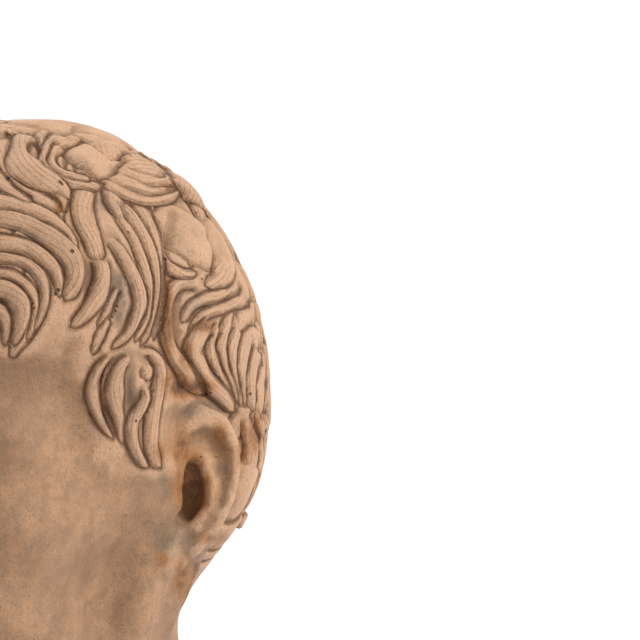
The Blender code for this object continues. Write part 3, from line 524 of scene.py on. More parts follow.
# Locks on the seen side, later ones over earlier ones: height of the lock's edges and of its crest above them
# (mm), where the crest lies (-1 on the left going down the lock, 1 on the right), widths at root, middle and
# tip, and the middle line (sheet units)
seenLocks = {
    "napeEnd": (0.1, 1.3, 0.0, (9, 11, 4), [(208, 544), (197, 560), (190, 580), (184, 602)]),
    "napeC": (0.2, 1.4, 0.2, (4, 9, 4), [(222, 521), (213, 534), (203, 548), (194, 568), (189, 588)]),
    "napeA": (0.1, 1.7, -0.2, (9, 10, 5),
        [(263, 424), (262, 450), (256, 476), (246, 498), (228, 520), (207, 541)]),
    "napeB": (0.3, 1.8, -0.2, (8, 10, 4),
        [(254, 440), (256, 462), (250, 486), (238, 504), (221, 521), (203, 540)]),
    "backEdge": (0.0, 1.6, 0.0, (7, 9, 6), [(263, 350), (266, 372), (267, 392), (267, 412)]),
    "backF": (0.1, 1.7, 0.0, (7, 9, 5), [(260, 330), (260, 350), (259, 370), (258, 390), (261, 410)]),
    "backE": (0.1, 1.7, 0.1, (7, 9, 5), [(256, 322), (254, 345), (251, 366), (250, 388), (253, 410)]),
    "backD": (0.1, 1.8, 0.1, (7, 10, 5), [(249, 320), (245, 340), (241, 360), (240, 382), (244, 406)]),
    "backC": (0.2, 1.9, 0.2, (7, 10, 5),
        [(240, 314), (234, 334), (230, 352), (230, 370), (234, 388), (241, 406)]),
    "backB": (0.3, 1.9, 0.2, (7, 10, 5),
        [(230, 316), (222, 332), (219, 348), (221, 365), (228, 383), (237, 401)]),
    "backA": (0.3, 1.8, 0.2, (6, 9, 4),
        [(218, 324), (210, 338), (209, 352), (215, 369), (224, 386), (234, 403)]),
    "upperB": (0.1, 1.5, 0.1, (7, 9, 6), [(243, 268), (250, 288), (254, 308), (254, 326), (250, 344)]),
    "upperA": (0.2, 1.7, 0.1, (7, 10, 6), [(232, 250), (240, 270), (245, 292), (243, 312), (236, 330)]),
    "topBack": (0.2, 1.5, -0.2, (7, 10, 7),
        [(199, 206), (212, 222), (224, 240), (234, 262), (239, 284), (236, 304)]),
    "waveB": (0.2, 1.9, 0.3, (8, 11, 5),
        [(238, 282), (235, 298), (224, 307), (209, 312), (196, 321), (187, 338)]),
    "waveA": (0.1, 1.6, 0.3, (9, 12, 6),
        [(229, 268), (228, 284), (218, 295), (203, 300), (190, 307), (182, 322)]),
    "behindEar": (0.5, 1.9, 0.0, (8, 11, 6),
        [(240, 410), (245, 428), (250, 446), (249, 462), (244, 476), (235, 490), (223, 502),
         (210, 511)]),
    "earFold": (0.5, 2.9, 0.35, (11, 18, 10),
        [(211, 321), (199, 334), (192, 349), (193, 362), (200, 375), (211, 387), (223, 399),
         (233, 411)]),
    "earHook": (0.4, 3.0, 0.45, (9, 15, 11),
        [(199, 286), (186, 284), (175, 287), (167, 298), (164, 314), (165, 332), (170, 350),
         (179, 366), (191, 381), (204, 394)]),
    "ballRim": (0.5, 2.0, 0.2, (6, 10, 8),
        [(172, 206), (163, 213), (158, 226), (157, 242), (160, 257), (167, 268), (180, 275),
         (194, 274)]),
    "ball": (0.4, 3.4, 0.0, (24, 36, 26), [(185, 218), (186, 231), (187, 246), (188, 265)]),
    "ballCover": (0.6, 2.6, -0.3, (5, 14, 12),
        [(195, 218), (204, 230), (212, 243), (218, 257), (219, 270), (214, 281), (203, 286)]),
    "longD": (0.1, 1.2, 0.0, (8, 10, 6),
        [(128, 196), (142, 212), (151, 232), (156, 258), (158, 284), (156, 312), (152, 340)]),
    "longC": (0.2, 1.6, -0.3, (8, 11, 6),
        [(116, 200), (130, 216), (142, 236), (150, 258), (153, 282), (151, 306), (146, 328),
         (139, 346)]),
    "longB": (0.3, 1.6, -0.3, (7, 9, 5),
        [(112, 212), (127, 232), (138, 254), (145, 278), (146, 302), (142, 324), (133, 342)]),
    "longA": (0.4, 2.3, -0.2, (8, 12, 6),
        [(104, 236), (117, 252), (128, 270), (136, 288), (138, 304), (133, 320), (124, 336),
         (110, 349)]),
    "leaf": (0.0, 1.5, 0.0, (5, 9, 4), [(119, 286), (112, 301), (105, 314), (96, 328)]),
    "leafFoot": (0.0, 1.0, 0.0, (5, 9, 5), [(110, 318), (99, 336), (92, 354)]),
    "ribbon": (0.7, 1.9, 0.2, (18, 17, 13),
        [(86, 184), (82, 197), (81, 210), (84, 224), (89, 237), (93, 249), (97, 262)]),
    "tongue": (0.6, 2.9, 0.3, (13, 17, 8),
        [(97, 258), (100, 271), (100, 284), (96, 296), (89, 307), (80, 318), (69, 327)]),
    "fringeG": (0.1, 1.2, 0.0, (12, 12, 5), [(-14, 306), (0, 311), (6, 326), (4, 345)]),
    "fringeE": (0.3, 1.6, -0.2, (12, 11, 5),
        [(-14, 274), (8, 277), (22, 285), (31, 297), (35, 311), (32, 326), (26, 340)]),
    "fringeD": (0.3, 1.6, -0.2, (12, 11, 5),
        [(-14, 257), (10, 259), (27, 265), (38, 277), (43, 293), (41, 312), (34, 331)]),
    "fringeC": (0.4, 1.8, -0.3, (14, 13, 6),
        [(-14, 242), (10, 245), (28, 250), (42, 259), (52, 271), (57, 286), (58, 298)]),
    "fringeB": (0.6, 2.9, -0.6, (14, 18, 12),
        [(-14, 218), (10, 221), (29, 227), (46, 237), (60, 249), (69, 262), (72, 275), (70, 288),
         (63, 301)]),
    "fringeA": (0.7, 2.0, -0.2, (13, 13, 5),
        [(-14, 202), (12, 206), (34, 213), (51, 223), (66, 236), (76, 250)]),
    "fringeF": (0.7, 2.8, -0.5, (14, 17, 6),
        [(-14, 288), (4, 291), (15, 300), (20, 312), (18, 327), (13, 345)]),
    "templeOuter": (0.4, 2.4, 0.3, (6, 13, 4),
        [(112, 355), (100, 365), (93, 379), (92, 395), (95, 410), (102, 425), (112, 439)]),
    "templeThin": (0.5, 1.5, 0.0, (4, 6, 3),
        [(116, 357), (107, 368), (103, 382), (103, 396), (106, 410)]),
    "templeInner": (0.5, 2.7, 0.4, (7, 16, 5),
        [(129, 358), (119, 365), (114, 377), (113, 392), (114, 407), (117, 422), (121, 444)]),
    "templeBoss": (0.1, 1.6, 0.0, (8, 12, 8), [(143, 365), (145, 372), (144, 380)]),
    "templeRim": (0.5, 2.6, 0.0, (7, 13, 10),
        [(135, 352), (146, 353), (155, 361), (158, 374), (156, 388), (152, 402), (150, 416),
         (149, 430), (149, 444), (153, 457), (159, 467)]),
    "templeSnake": (0.7, 2.4, 0.1, (7, 11, 7),
        [(143, 384), (142, 397), (137, 409), (130, 421), (129, 434), (132, 447), (139, 459),
         (147, 467)]),
    "flatA": (0.3, 1.8, 0.0, (15, 16, 8), [(-14, 124), (4, 124), (20, 128), (32, 137)]),
    "flatB": (0.2, 1.6, 0.2, (14, 14, 8),
        [(-14, 142), (0, 148), (4, 162), (6, 178), (22, 192), (44, 202), (60, 212)]),
    "flatC": (0.2, 1.4, 0.2, (10, 11, 6), [(-14, 166), (-2, 180), (10, 192), (32, 204)]),
    "hem": (1.2, 2.0, -0.2, (7, 10, 8),
        [(94, 183), (110, 190), (128, 196), (148, 200), (166, 198), (178, 190)]),
    "tuftC": (1.6, 2.0, -0.2, (7, 11, 8),
        [(92, 174), (108, 181), (124, 186), (142, 190), (160, 188), (174, 181)]),
    "tuftB": (1.9, 2.0, -0.2, (7, 11, 8),
        [(100, 165), (113, 173), (128, 178), (144, 181), (160, 178), (172, 172)]),
    "tuftA": (2.0, 1.6, -0.3, (7, 10, 7),
        [(106, 158), (116, 167), (130, 171), (144, 171), (155, 165), (158, 158)]),
    "crest": (2.0, 2.2, -0.3, (9, 13, 10),
        [(78, 131), (92, 135), (108, 143), (126, 150), (144, 155), (162, 162), (176, 172)]),
    "knob": (2.2, 2.6, 0.0, (14, 20, 13), [(172, 170), (182, 177), (185, 189), (181, 202)]),
    "ringOuter": (0.8, 2.0, 0.2, (8, 9, 7),
        [(76, 143), (58, 145), (46, 154), (43, 166), (51, 178), (66, 186), (84, 188), (100, 188)]),
    "ringInner": (0.8, 1.7, 0.2, (6, 8, 6),
        [(64, 149), (54, 154), (51, 164), (58, 174), (72, 180), (88, 181)]),
    "ringBoss": (0.9, 2.2, 0.0, (20, 27, 22), [(103, 155), (90, 164), (77, 170)]),
    "ringRoll": (1.7, 2.6, -0.3, (12, 17, 9),
        [(28, 133), (44, 130), (60, 131), (76, 133), (90, 141), (100, 152), (105, 166)]),
    "crescent": (1.2, 3.0, -0.55, (7, 20, 7),
        [(30, 138), (20, 146), (17, 157), (20, 167), (30, 177), (44, 185), (58, 192), (68, 201)]),
}

# Broad swellings and hollows under the locks: place on the sheet, reach across and along, height (mm)
swellings = {
    "tuft": (148, 174, 46, 24, 1.4),
    "ring": (80, 165, 40, 28, 0.8),
    "ball": (190, 248, 26, 40, 0.8),
    "fringe": (58, 272, 30, 42, 1.0),
    "fringeFoot": (12, 312, 18, 34, 0.8),
    "tongue": (94, 290, 16, 36, 0.6),
    "temple": (128, 400, 34, 52, 0.9),
    "longHollow": (116, 300, 10, 30, -1.6),
    "tongueHollow": (86, 282, 5, 24, -1.2),
    "ballHollow": (166, 240, 5, 24, -1.6),
    "hookHollow": (176, 322, 6, 28, -2.2),
    "templeHollow": (129, 392, 5, 22, -1.8),
    "aboveEar": (187, 388, 16, 9, -2.6),
    "ringHollow": (62, 160, 11, 12, -2.2),
    "tuftUnder": (112, 204, 18, 10, -0.9),
}

# The rest of the hair by rule. Rows from the nape up: degrees above level from the middle of the skull, how
# many locks go round, their width. The fringe's rows from the hairline up: height, first lock's turn, count,
# degrees apart
combed = {
    "middle": (0.0, 0.0, 36.0),
    "rows": [(-30, 25, 12), (-19, 27, 12), (-7, 28, 13), (5, 28, 13), (17, 27, 13), (29, 25, 13),
             (41, 22, 13), (53, 18, 13), (65, 13, 13), (77, 8, 13)],
    "fringe": [(25, 4, 4, 10.5), (38, 8, 3, 12), (51, 4, 3, 14), (63, 10, 2, 18)],
    "fringeWide": 17.0,
    "base": 0.9,                # of the hair between the locks, against the hair's own surface
    "roundness": 2.2,           # of a lock's back, 1 for a ridge like a roof
    "combWide": 2.1,            # between the comb's marks along a lock
    "groove": 0.35,             # cut round each lock, and its half-width
    "grooveWide": 0.85,
    "broad": 1.30,              # of a lock against the drawn one, so that neighbours meet
    "unmarked": 0.75,           # the comb's turn where it leaves no mark
    "farOff": 4.0,              # distance to a lock's edge, mm, that counts as away from all of them
    "tooBroad": 8.5,            # half-width from which a lock is left smooth, without the comb's marks
}


def lockWidths(widths, along):
    wide = np.interp(along, [0.0, 0.5, 1.0], widths)
    ends = np.sqrt(np.clip(1.0 - (1.0 - np.clip((1.0 - along) / 0.10, 0.0, 1.0)) ** 2, 0.02, 1.0))
    return wide * ends


def sheetLock(tree, points, widths, count=30):
    line = spline(points, count)
    way = np.gradient(line, axis=0)
    way /= np.linalg.norm(way, axis=1)[:, None]
    wide = lockWidths(widths, np.linspace(0, 1, count))
    side = np.stack([-way[:, 1], way[:, 0]], 1) * (wide / 2.0)[:, None]
    side *= combed["broad"]
    middle, half = [], []
    for (x, y), (dx, dy) in zip(line, side):
        hits = [castFromSheet(tree, x + k * dx, y + k * dy) for k in (-1, 0, 1)]
        if hits[1] is None:
            continue
        if hits[0] is None:
            hits[0] = 2 * hits[1] - hits[2] if hits[2] is not None else None
        if hits[2] is None:
            hits[2] = 2 * hits[1] - hits[0] if hits[0] is not None else None
        if hits[0] is None or hits[2] is None:
            continue
        middle.append(hits[1])
        half.append((hits[2] - hits[0]) / 2.0)
    return np.array(middle).reshape(-1, 3), np.array(half).reshape(-1, 3)


def roundLock(tree, turns, lifts, width, count=20):
    line = spline(list(zip(turns, lifts)), count)
    middle = []
    for turn, lift in np.radians(line):
        out = Vector((math.sin(turn) * math.cos(lift), -math.cos(turn) * math.cos(lift), math.sin(lift)))
        hit = tree.ray_cast(Vector(combed["middle"]) + 250.0 * out, -out)
        middle.append(np.array(hit[0]))
    middle = np.array(middle)
    way = np.gradient(middle, axis=0)
    side = np.cross(way, middle - np.array(combed["middle"]))
    side /= np.linalg.norm(side, axis=1)[:, None]
    along = np.linspace(0, 1, count)
    wide = np.clip(0.5 + 2.2 * along, 0.0, 1.0) * np.clip(0.12 + 2.2 * (1.0 - along), 0.0, 1.0) ** 0.8
    return middle, side * (width / 2.0 * wide)[:, None]


# Lays one lock over the hair so far; its root fades in from under the one before
def pressLock(p, laid, lock, edgeHeight, crown, lean):
    middle, half = lock
    if len(middle) < 3:
        return
    reachOut = np.linalg.norm(half, axis=1).max() + 2.5
    near = np.nonzero(np.all((p > middle.min(0) - reachOut) & (p < middle.max(0) + reachOut), axis=1))[0]
    q = p[near]
    best = np.full(len(q), 1e9)
    across, along, broad = np.zeros(len(q)), np.zeros(len(q)), np.ones(len(q))
    for i in range(len(middle) - 1):
        step = middle[i + 1] - middle[i]
        t = np.clip((q - middle[i]) @ step / (step @ step), 0.0, 1.0)
        off = q - middle[i] - t[:, None] * step
        far = np.linalg.norm(off, axis=1)
        closer = far < best
        wide = half[i] + t[:, None] * (half[i + 1] - half[i])
        size = np.sqrt(np.maximum((wide ** 2).sum(1), 0.04))
        best = np.where(closer, far, best)
        across = np.where(closer, far * np.sign((off * wide).sum(1)) / size, across)
        along = np.where(closer, (i + t) / (len(middle) - 1), along)
        broad = np.where(closer, size, broad)
    fromCrest = np.where(across < lean, (lean - across) / (1.0 + lean), (across - lean) / (1.0 - lean))
    domed = 1.0 - np.clip(fromCrest, 0.0, 1.0) ** combed["roundness"]
    full = np.clip(0.45 + 4.0 * along, 0.0, 1.0) * np.clip(0.30 + 3.2 * (1.0 - along), 0.0, 1.0)
    raised = (edgeHeight + crown * domed) * full
    outside = (np.abs(across) - 1.0) * broad                # millimetres beyond the lock's edge
    shown = smooth(along, 0.0, 0.10)
    inside = (1.0 - smooth(outside, -0.6, 0.8)) * shown
    depth, gap, comb = laid["depth"], laid["gap"], laid["comb"]
    depth[near] += (raised - depth[near]) * inside
    cut = combed["groove"] * (1.0 + 0.5 * np.sin(23.0 * along + middle[0, 0])) * np.clip(full, 0.5, 1.0)
    depth[near] -= cut * np.exp(-(outside / combed["grooveWide"]) ** 2) * shown
    marks = across * broad / combed["combWide"] + 0.5 * np.sin(7.0 * along + middle[0, 2])
    marks = np.where(broad < combed["tooBroad"], marks, combed["unmarked"])
    covers = (outside < 0.0) & (along > 0.06)
    comb[near] = np.where(covers, marks, comb[near])
    nearest = np.abs(outside) < np.abs(gap[near])
    gap[near] = np.where((along > 0.06) & (covers | nearest), outside, gap[near])


def combedRows():
    made = []
    for row, (lift, count, width) in enumerate(combed["rows"]):
        for k in range(count):
            turn = 360.0 * (k + 0.5 * (row % 2)) / count + 5.0 * math.sin(2.4 * k + row)
            wave = (3.5 + 1.5 * math.sin(1.3 * k + row)) / max(0.45, math.cos(math.radians(lift)))
            drop = (1.0 + 0.15 * math.sin(3.1 * k + 1.7 * row)) * (0.6 if row == 0 else 1.0)
            turns = (turn, turn + wave, turn + 0.3 * wave, turn - 1.1 * wave, turn - 0.6 * wave)
            lifts = (lift + 16, lift + 6, lift - 5 * drop, lift - 15 * drop, lift - 23 * drop)
            made.append((turns, lifts, width))
    return made


def fringeRows():
    made = []
    for row, (lift, first, count, apart) in enumerate(combed["fringe"]):
        for k in range(count):
            turn = first + apart * k
            hook = 4.0 + 2.0 * math.sin(1.9 * k + row)
            turns = (turn - 9, turn + 2, turn + 6, turn + 6 - hook)
            lifts = (lift + 17, lift + 8, lift - 3, lift - 12 - 1.5 * math.sin(2.2 * k + 2.0 * row))
            made.append((turns, lifts, combed["fringeWide"]))
    return made


def fromFront(turn):
    return abs((turn + 180.0) % 360.0 - 180.0)


def wandering(points):
    return [(x + 5.0 * math.sin(y / 27.0), y + 4.0 * math.sin(x / 33.0 + 1.0)) for x, y in points]


def inDrawnSide(turn, lift):
    return 34.0 < fromFront(turn) < 124.0 and lift < 62.0


# Depth of the hair over the clay, millimetres to the nearest lock's edge (inside it less than 0) and the
# comb's marks
def layHair(p, tree, above):
    laid = {
        "depth": combed["base"] * smooth(above, -5.0, 6.0),
        "gap": np.full(len(p), combed["farOff"]),
        "comb": np.full(len(p), combed["unmarked"]),
    }
    flip = np.array([-1.0, 1.0, 1.0])
    for turns, lifts, width in combedRows():
        inFringe = fromFront(turns[1]) < 36.0 and lifts[1] < 70.0
        if not inFringe and not inDrawnSide(turns[1], lifts[1]):
            pressLock(p, laid, roundLock(tree, turns, lifts, width), 0.3, 2.6, 0.2)
    for turns, lifts, width in fringeRows():
        middle, half = roundLock(tree, turns, lifts, width)
        pressLock(p, laid, (middle, half), 0.4, 2.6, 0.2)
        pressLock(p, laid, (middle * flip, half * flip), 0.4, 2.6, 0.2)
    for edgeHeight, crown, lean, widths, points in seenLocks.values():
        middle, half = sheetLock(tree, wandering(points), widths)
        pressLock(p, laid, (middle * flip, half * flip), edgeHeight, crown, lean)
    for edgeHeight, crown, lean, widths, points in seenLocks.values():
        pressLock(p, laid, sheetLock(tree, points, widths), edgeHeight, crown, lean)
    m = p.copy()
    m[:, 0] = np.abs(m[:, 0])
    x, y = onSheet(m)
    outOf = smooth(m[:, 0], 0.0, 16.0) * smooth(above, -2.0, 3.0)
    for cx, cy, wide, tall, height in swellings.values():
        laid["depth"] += height * np.exp(-((x - cx) / wide) ** 2 - ((y - cy) / tall) ** 2) * outOf
    return laid


def offEars(p):
    m = p.copy()
    m[:, 0] = np.abs(m[:, 0])
    return smooth(ear(np.full(len(m), 9.0), m), 0.2, 1.8)


# Soft unevenness between -1 and 1
def ripple(p, size, seed):
    rng = np.random.default_rng(seed)
    total = np.zeros(len(p))
    for _ in range(7):
        way = rng.normal(size=3)
        along = p @ (way / np.linalg.norm(way))
        total += np.sin(along * 2 * math.pi / (size * rng.uniform(0.7, 1.5)) + rng.uniform(0, 6.28))
    return total / 4.0


def edgesOf(mesh):
    flat = np.empty(len(mesh.edges) * 2, np.int32)
    mesh.edges.foreach_get("vertices", flat)
    return flat.reshape(-1, 2)


def evenOut(values, edges, rounds):
    count = np.bincount(edges.ravel(), minlength=len(values))
    for _ in range(rounds):
        total = np.stack([np.bincount(edges[:, 0], column[edges[:, 1]], len(values))
                          + np.bincount(edges[:, 1], column[edges[:, 0]], len(values))
                          for column in values.T], 1)
        values = 0.5 * values + 0.5 * total / np.maximum(count, 1)[:, None]
    return values


def carveBust():
    points, quads = netOver(clay, netLines())
    print("net:", len(quads), "quads")
    mesh = finerWhereSeen(points, quads)
    p = pointsOf(mesh)
    p, slope = pressOnto(clay, p, 2)
    print("pressed onto the clay:", len(p), "points")
    above = aboveHairline(p)
    tree = BVHTree.FromPolygons([Vector(v) for v in points], quads.tolist())
    near = np.nonzero((above > -14.0) & (p[:, 2] > -90.0))[0]
    laid = layHair(p[near], tree, above[near])
    far, unmarked = combed["farOff"], combed["unmarked"]
    depth, gap, comb = np.zeros(len(p)), np.full(len(p), far), np.full(len(p), unmarked)
    depth[near], gap[near], comb[near] = laid["depth"], laid["gap"], laid["comb"]
    free = offEars(p)
    gap = np.where((free > 0.5) & ((above > 1.5) | (p[:, 1] < 30.0)), np.clip(gap, -far, far), far)
    depth = evenOut((depth * free)[:, None], edgesOf(mesh), 1)[:, 0]
    setAttribute(mesh, "gap", gap)
    setAttribute(mesh, "edge", np.abs(gap))
    setAttribute(mesh, "comb", np.where(free > 0.5, comb, unmarked))
    print("locks cut")
    depth += 0.22 * ripple(p, 34.0, 3) + 0.08 * ripple(p, 11.0, 4)
    floor = bustSizes["floor"]
    depth *= smooth(p[:, 2], floor + 1.0, floor + 8.0)
    p = p + slope * depth[:, None]
    rubbed = evenOut(p, edgesOf(mesh), earShape["rubs"])
    p += (rubbed - p) * (1.0 - free)[:, None]
    p[p[:, 2] < floor + 0.4 * netSizes["chestStep"], 2] = floor
    low, high = [(np.array(corner) - (0.0, 0.0, bustSizes["earHeight"])) * 1000.0 for corner in cadBox]
    p = np.clip(p, low + 0.02, high - 0.02)
    mesh.vertices.foreach_set("co", np.ascontiguousarray(p, np.float32).ravel())
    mesh.update()
    return mesh


def howSeen(p):
    low, high = np.array(netSizes["seen"][0], float), np.array(netSizes["seen"][1], float)
    inside = np.minimum(p - low, high - p).min(1)       # millimetres within the seen box
    return smooth(inside, -3.0, 6.0)


# Drops the triangles that flat clay doesn't need, and keeps those on the seen side longest
def thinned(mesh, most):
    body = bpy.data.objects.new("thinning", mesh)
    bpy.context.scene.collection.objects.link(body)
    p = pointsOf(mesh)
    seen = howSeen(p)
    group = body.vertex_groups.new(name="plain")
    for share in range(10):
        chosen = np.nonzero((seen >= share / 10) & (seen < (share + 1) / 10 + (share == 9)))[0]
        group.add(chosen.tolist(), 1.0 - 0.1 * share, "REPLACE")
    thin = body.modifiers.new("thin", "DECIMATE")
    thin.ratio = min(1.0, most / len(mesh.polygons))
    thin.vertex_group = "plain"
    thin.vertex_group_factor = netSizes["seenKept"]
    result = bpy.data.meshes.new_from_object(body.evaluated_get(bpy.context.evaluated_depsgraph_get()))
    bpy.data.objects.remove(body)
    return result


def setAttribute(mesh, name, values):
    layer = mesh.attributes.new(name, "FLOAT", "POINT")
    layer.data.foreach_set("value", np.ascontiguousarray(values, np.float32))


# Stains and residues: place on the sheet, reach across and along (sheet units), strength
stains = {
    "earHollow": (192, 484, 16, 30, 1.0),
    "earRimInner": (182, 450, 10, 22, 0.8),
    "earRimBack": (222, 440, 9, 16, 0.6),
    "aboveEar": (178, 386, 13, 13, 1.0),
    "earSeam": (198, 388, 15, 8, 1.0),
    "earFold": (186, 356, 7, 14, 0.8),
    "earFoldTop": (204, 326, 8, 6, 0.9),
    "hook": (168, 322, 7, 34, 0.8),
    "behindTop": (255, 432, 6, 18, 0.9),
    "behindLow": (243, 446, 5, 22, 0.8),
    "tuftHole": (169, 188, 6, 5, 0.7),
    "underLobe": (182, 582, 7, 20, 0.9),
    "napeLine": (212, 540, 14, 6, 0.6),
    "lobeFront": (163, 560, 7, 6, 0.6),
    "browSpot": (60, 208, 5, 7, 0.5),
    "temple": (160, 452, 7, 10, 0.5),
}
greys = {
    "earTop": (196, 410, 26, 10, 0.8),
    "lobe": (176, 540, 24, 22, 1.0),
    "tragus": (166, 484, 14, 18, 0.8),
    "hollowLeaf": (119, 298, 15, 34, 1.0),
    "ballShade": (184, 236, 16, 22, 0.5),
    "waveShade": (190, 304, 18, 18, 0.9),
    "tuftUnder": (104, 206, 16, 14, 0.7),
    "templeDish": (126, 392, 16, 34, 0.8),
    "longValley": (158, 318, 6, 32, 0.6),
    "browBands": (46, 240, 26, 10, 0.6),
    "knob": (184, 194, 8, 10, 0.5),
}


# Small holes in the clay, coloured dark inside as painted shade: place on the sheet, radius in millimetres
pits = [
    (8, 179, 0.9), (60, 182, 0.9), (62, 184, 0.6), (171, 186, 0.9), (130, 155, 0.8), (60, 211, 0.9),
    (66, 212, 0.6), (72, 251, 0.9), (58, 290, 0.8), (55, 294, 0.7), (165, 259, 0.9), (148, 356, 0.6),
    (136, 421, 0.6), (250, 394, 0.7), (257, 442, 0.8), (117, 306, 0.5), (115, 311, 0.6), (112, 317, 0.6),
    (110, 320, 0.5), (202, 395, 0.7), (206, 394, 0.9), (210, 393, 0.6), (201, 457, 0.4), (216, 457, 0.3),
    (126, 515, 0.4), (33, 303, 0.4), (34, 308, 0.4), (128, 232, 0.4), (196, 213, 0.4), (202, 279, 0.6),
    (209, 292, 0.5),
]


def patches(x, y, spots):
    total = np.zeros(len(x))
    for cx, cy, wide, tall, strength in spots.values():
        total = np.maximum(total, strength * np.exp(-((x - cx) / wide) ** 2 - ((y - cy) / tall) ** 2))
    return total


def shadeAttributes(mesh):
    p = pointsOf(mesh)
    edges = edgesOf(mesh)
    normals = np.empty(len(p) * 3, np.float32)
    mesh.vertex_normals.foreach_get("vector", normals)
    normals = normals.reshape(-1, 3)
    fine = ((evenOut(p, edges, 6) - p) * normals).sum(1)
    broad = ((evenOut(p, edges, 40) - p) * normals).sum(1)
    above = aboveHairline(p)
    carved = np.maximum(smooth(above, -1.0, 4.0), 1.0 - offEars(p))     # painted shade and ridge highlights stay off the skin
    # groove and hollow: concavity that the material turns into painted shade, and on ridges into a painted
    # highlight
    setAttribute(mesh, "groove", np.clip(evenOut(fine[:, None], edges, 1)[:, 0] * 5.0, -1.0, 1.0) * carved)
    setAttribute(mesh, "hollow", np.clip(broad * 1.1, -1.0, 1.0) * carved)
    left = p.copy()
    left[:, 0] = np.abs(left[:, 0])
    x, y = onSheet(left)
    facing = smooth(left[:, 0], 20.0, 40.0)
    setAttribute(mesh, "stain", patches(x, y, stains) * facing)
    setAttribute(mesh, "grey", patches(x, y, greys) * facing)
    setAttribute(mesh, "hair", smooth(above, -3.0, 4.0))


def node(tree, kind, place, **settings):
    made = tree.nodes.new(kind)
    made.location = place
    for name, value in settings.items():
        setattr(made, name, value)
    return made


def join(tree, *pairs):
    for source, target in pairs:
        tree.links.new(source, target)


firedClay = {
    "pale": (0.270, 0.150, 0.080, 1.0),
    "tan": (0.160, 0.086, 0.044, 1.0),
    "dark": (0.052, 0.023, 0.010, 1.0),
    "greyed": (0.118, 0.077, 0.047, 1.0),
    "rust": (0.205, 0.082, 0.021, 1.0),
    "umber": (0.085, 0.034, 0.013, 1.0),
    "wornAndHighlit": (0.400, 0.245, 0.150, 1.0),
    "holeShade": (0.030, 0.012, 0.005, 1.0),
}


def pitPlaces(mesh):
    faces = [tuple(face.vertices) for face in mesh.polygons]
    tree = BVHTree.FromPolygons([v.co for v in mesh.vertices], faces)
    found = []
    for x, y, radius in pits:
        place = castFromSheet(tree, x, y)
        if place is not None:
            found.append((place * 0.001 + np.array([0.0, 0.0, bustSizes["earHeight"]]), radius * 0.001))
    return found


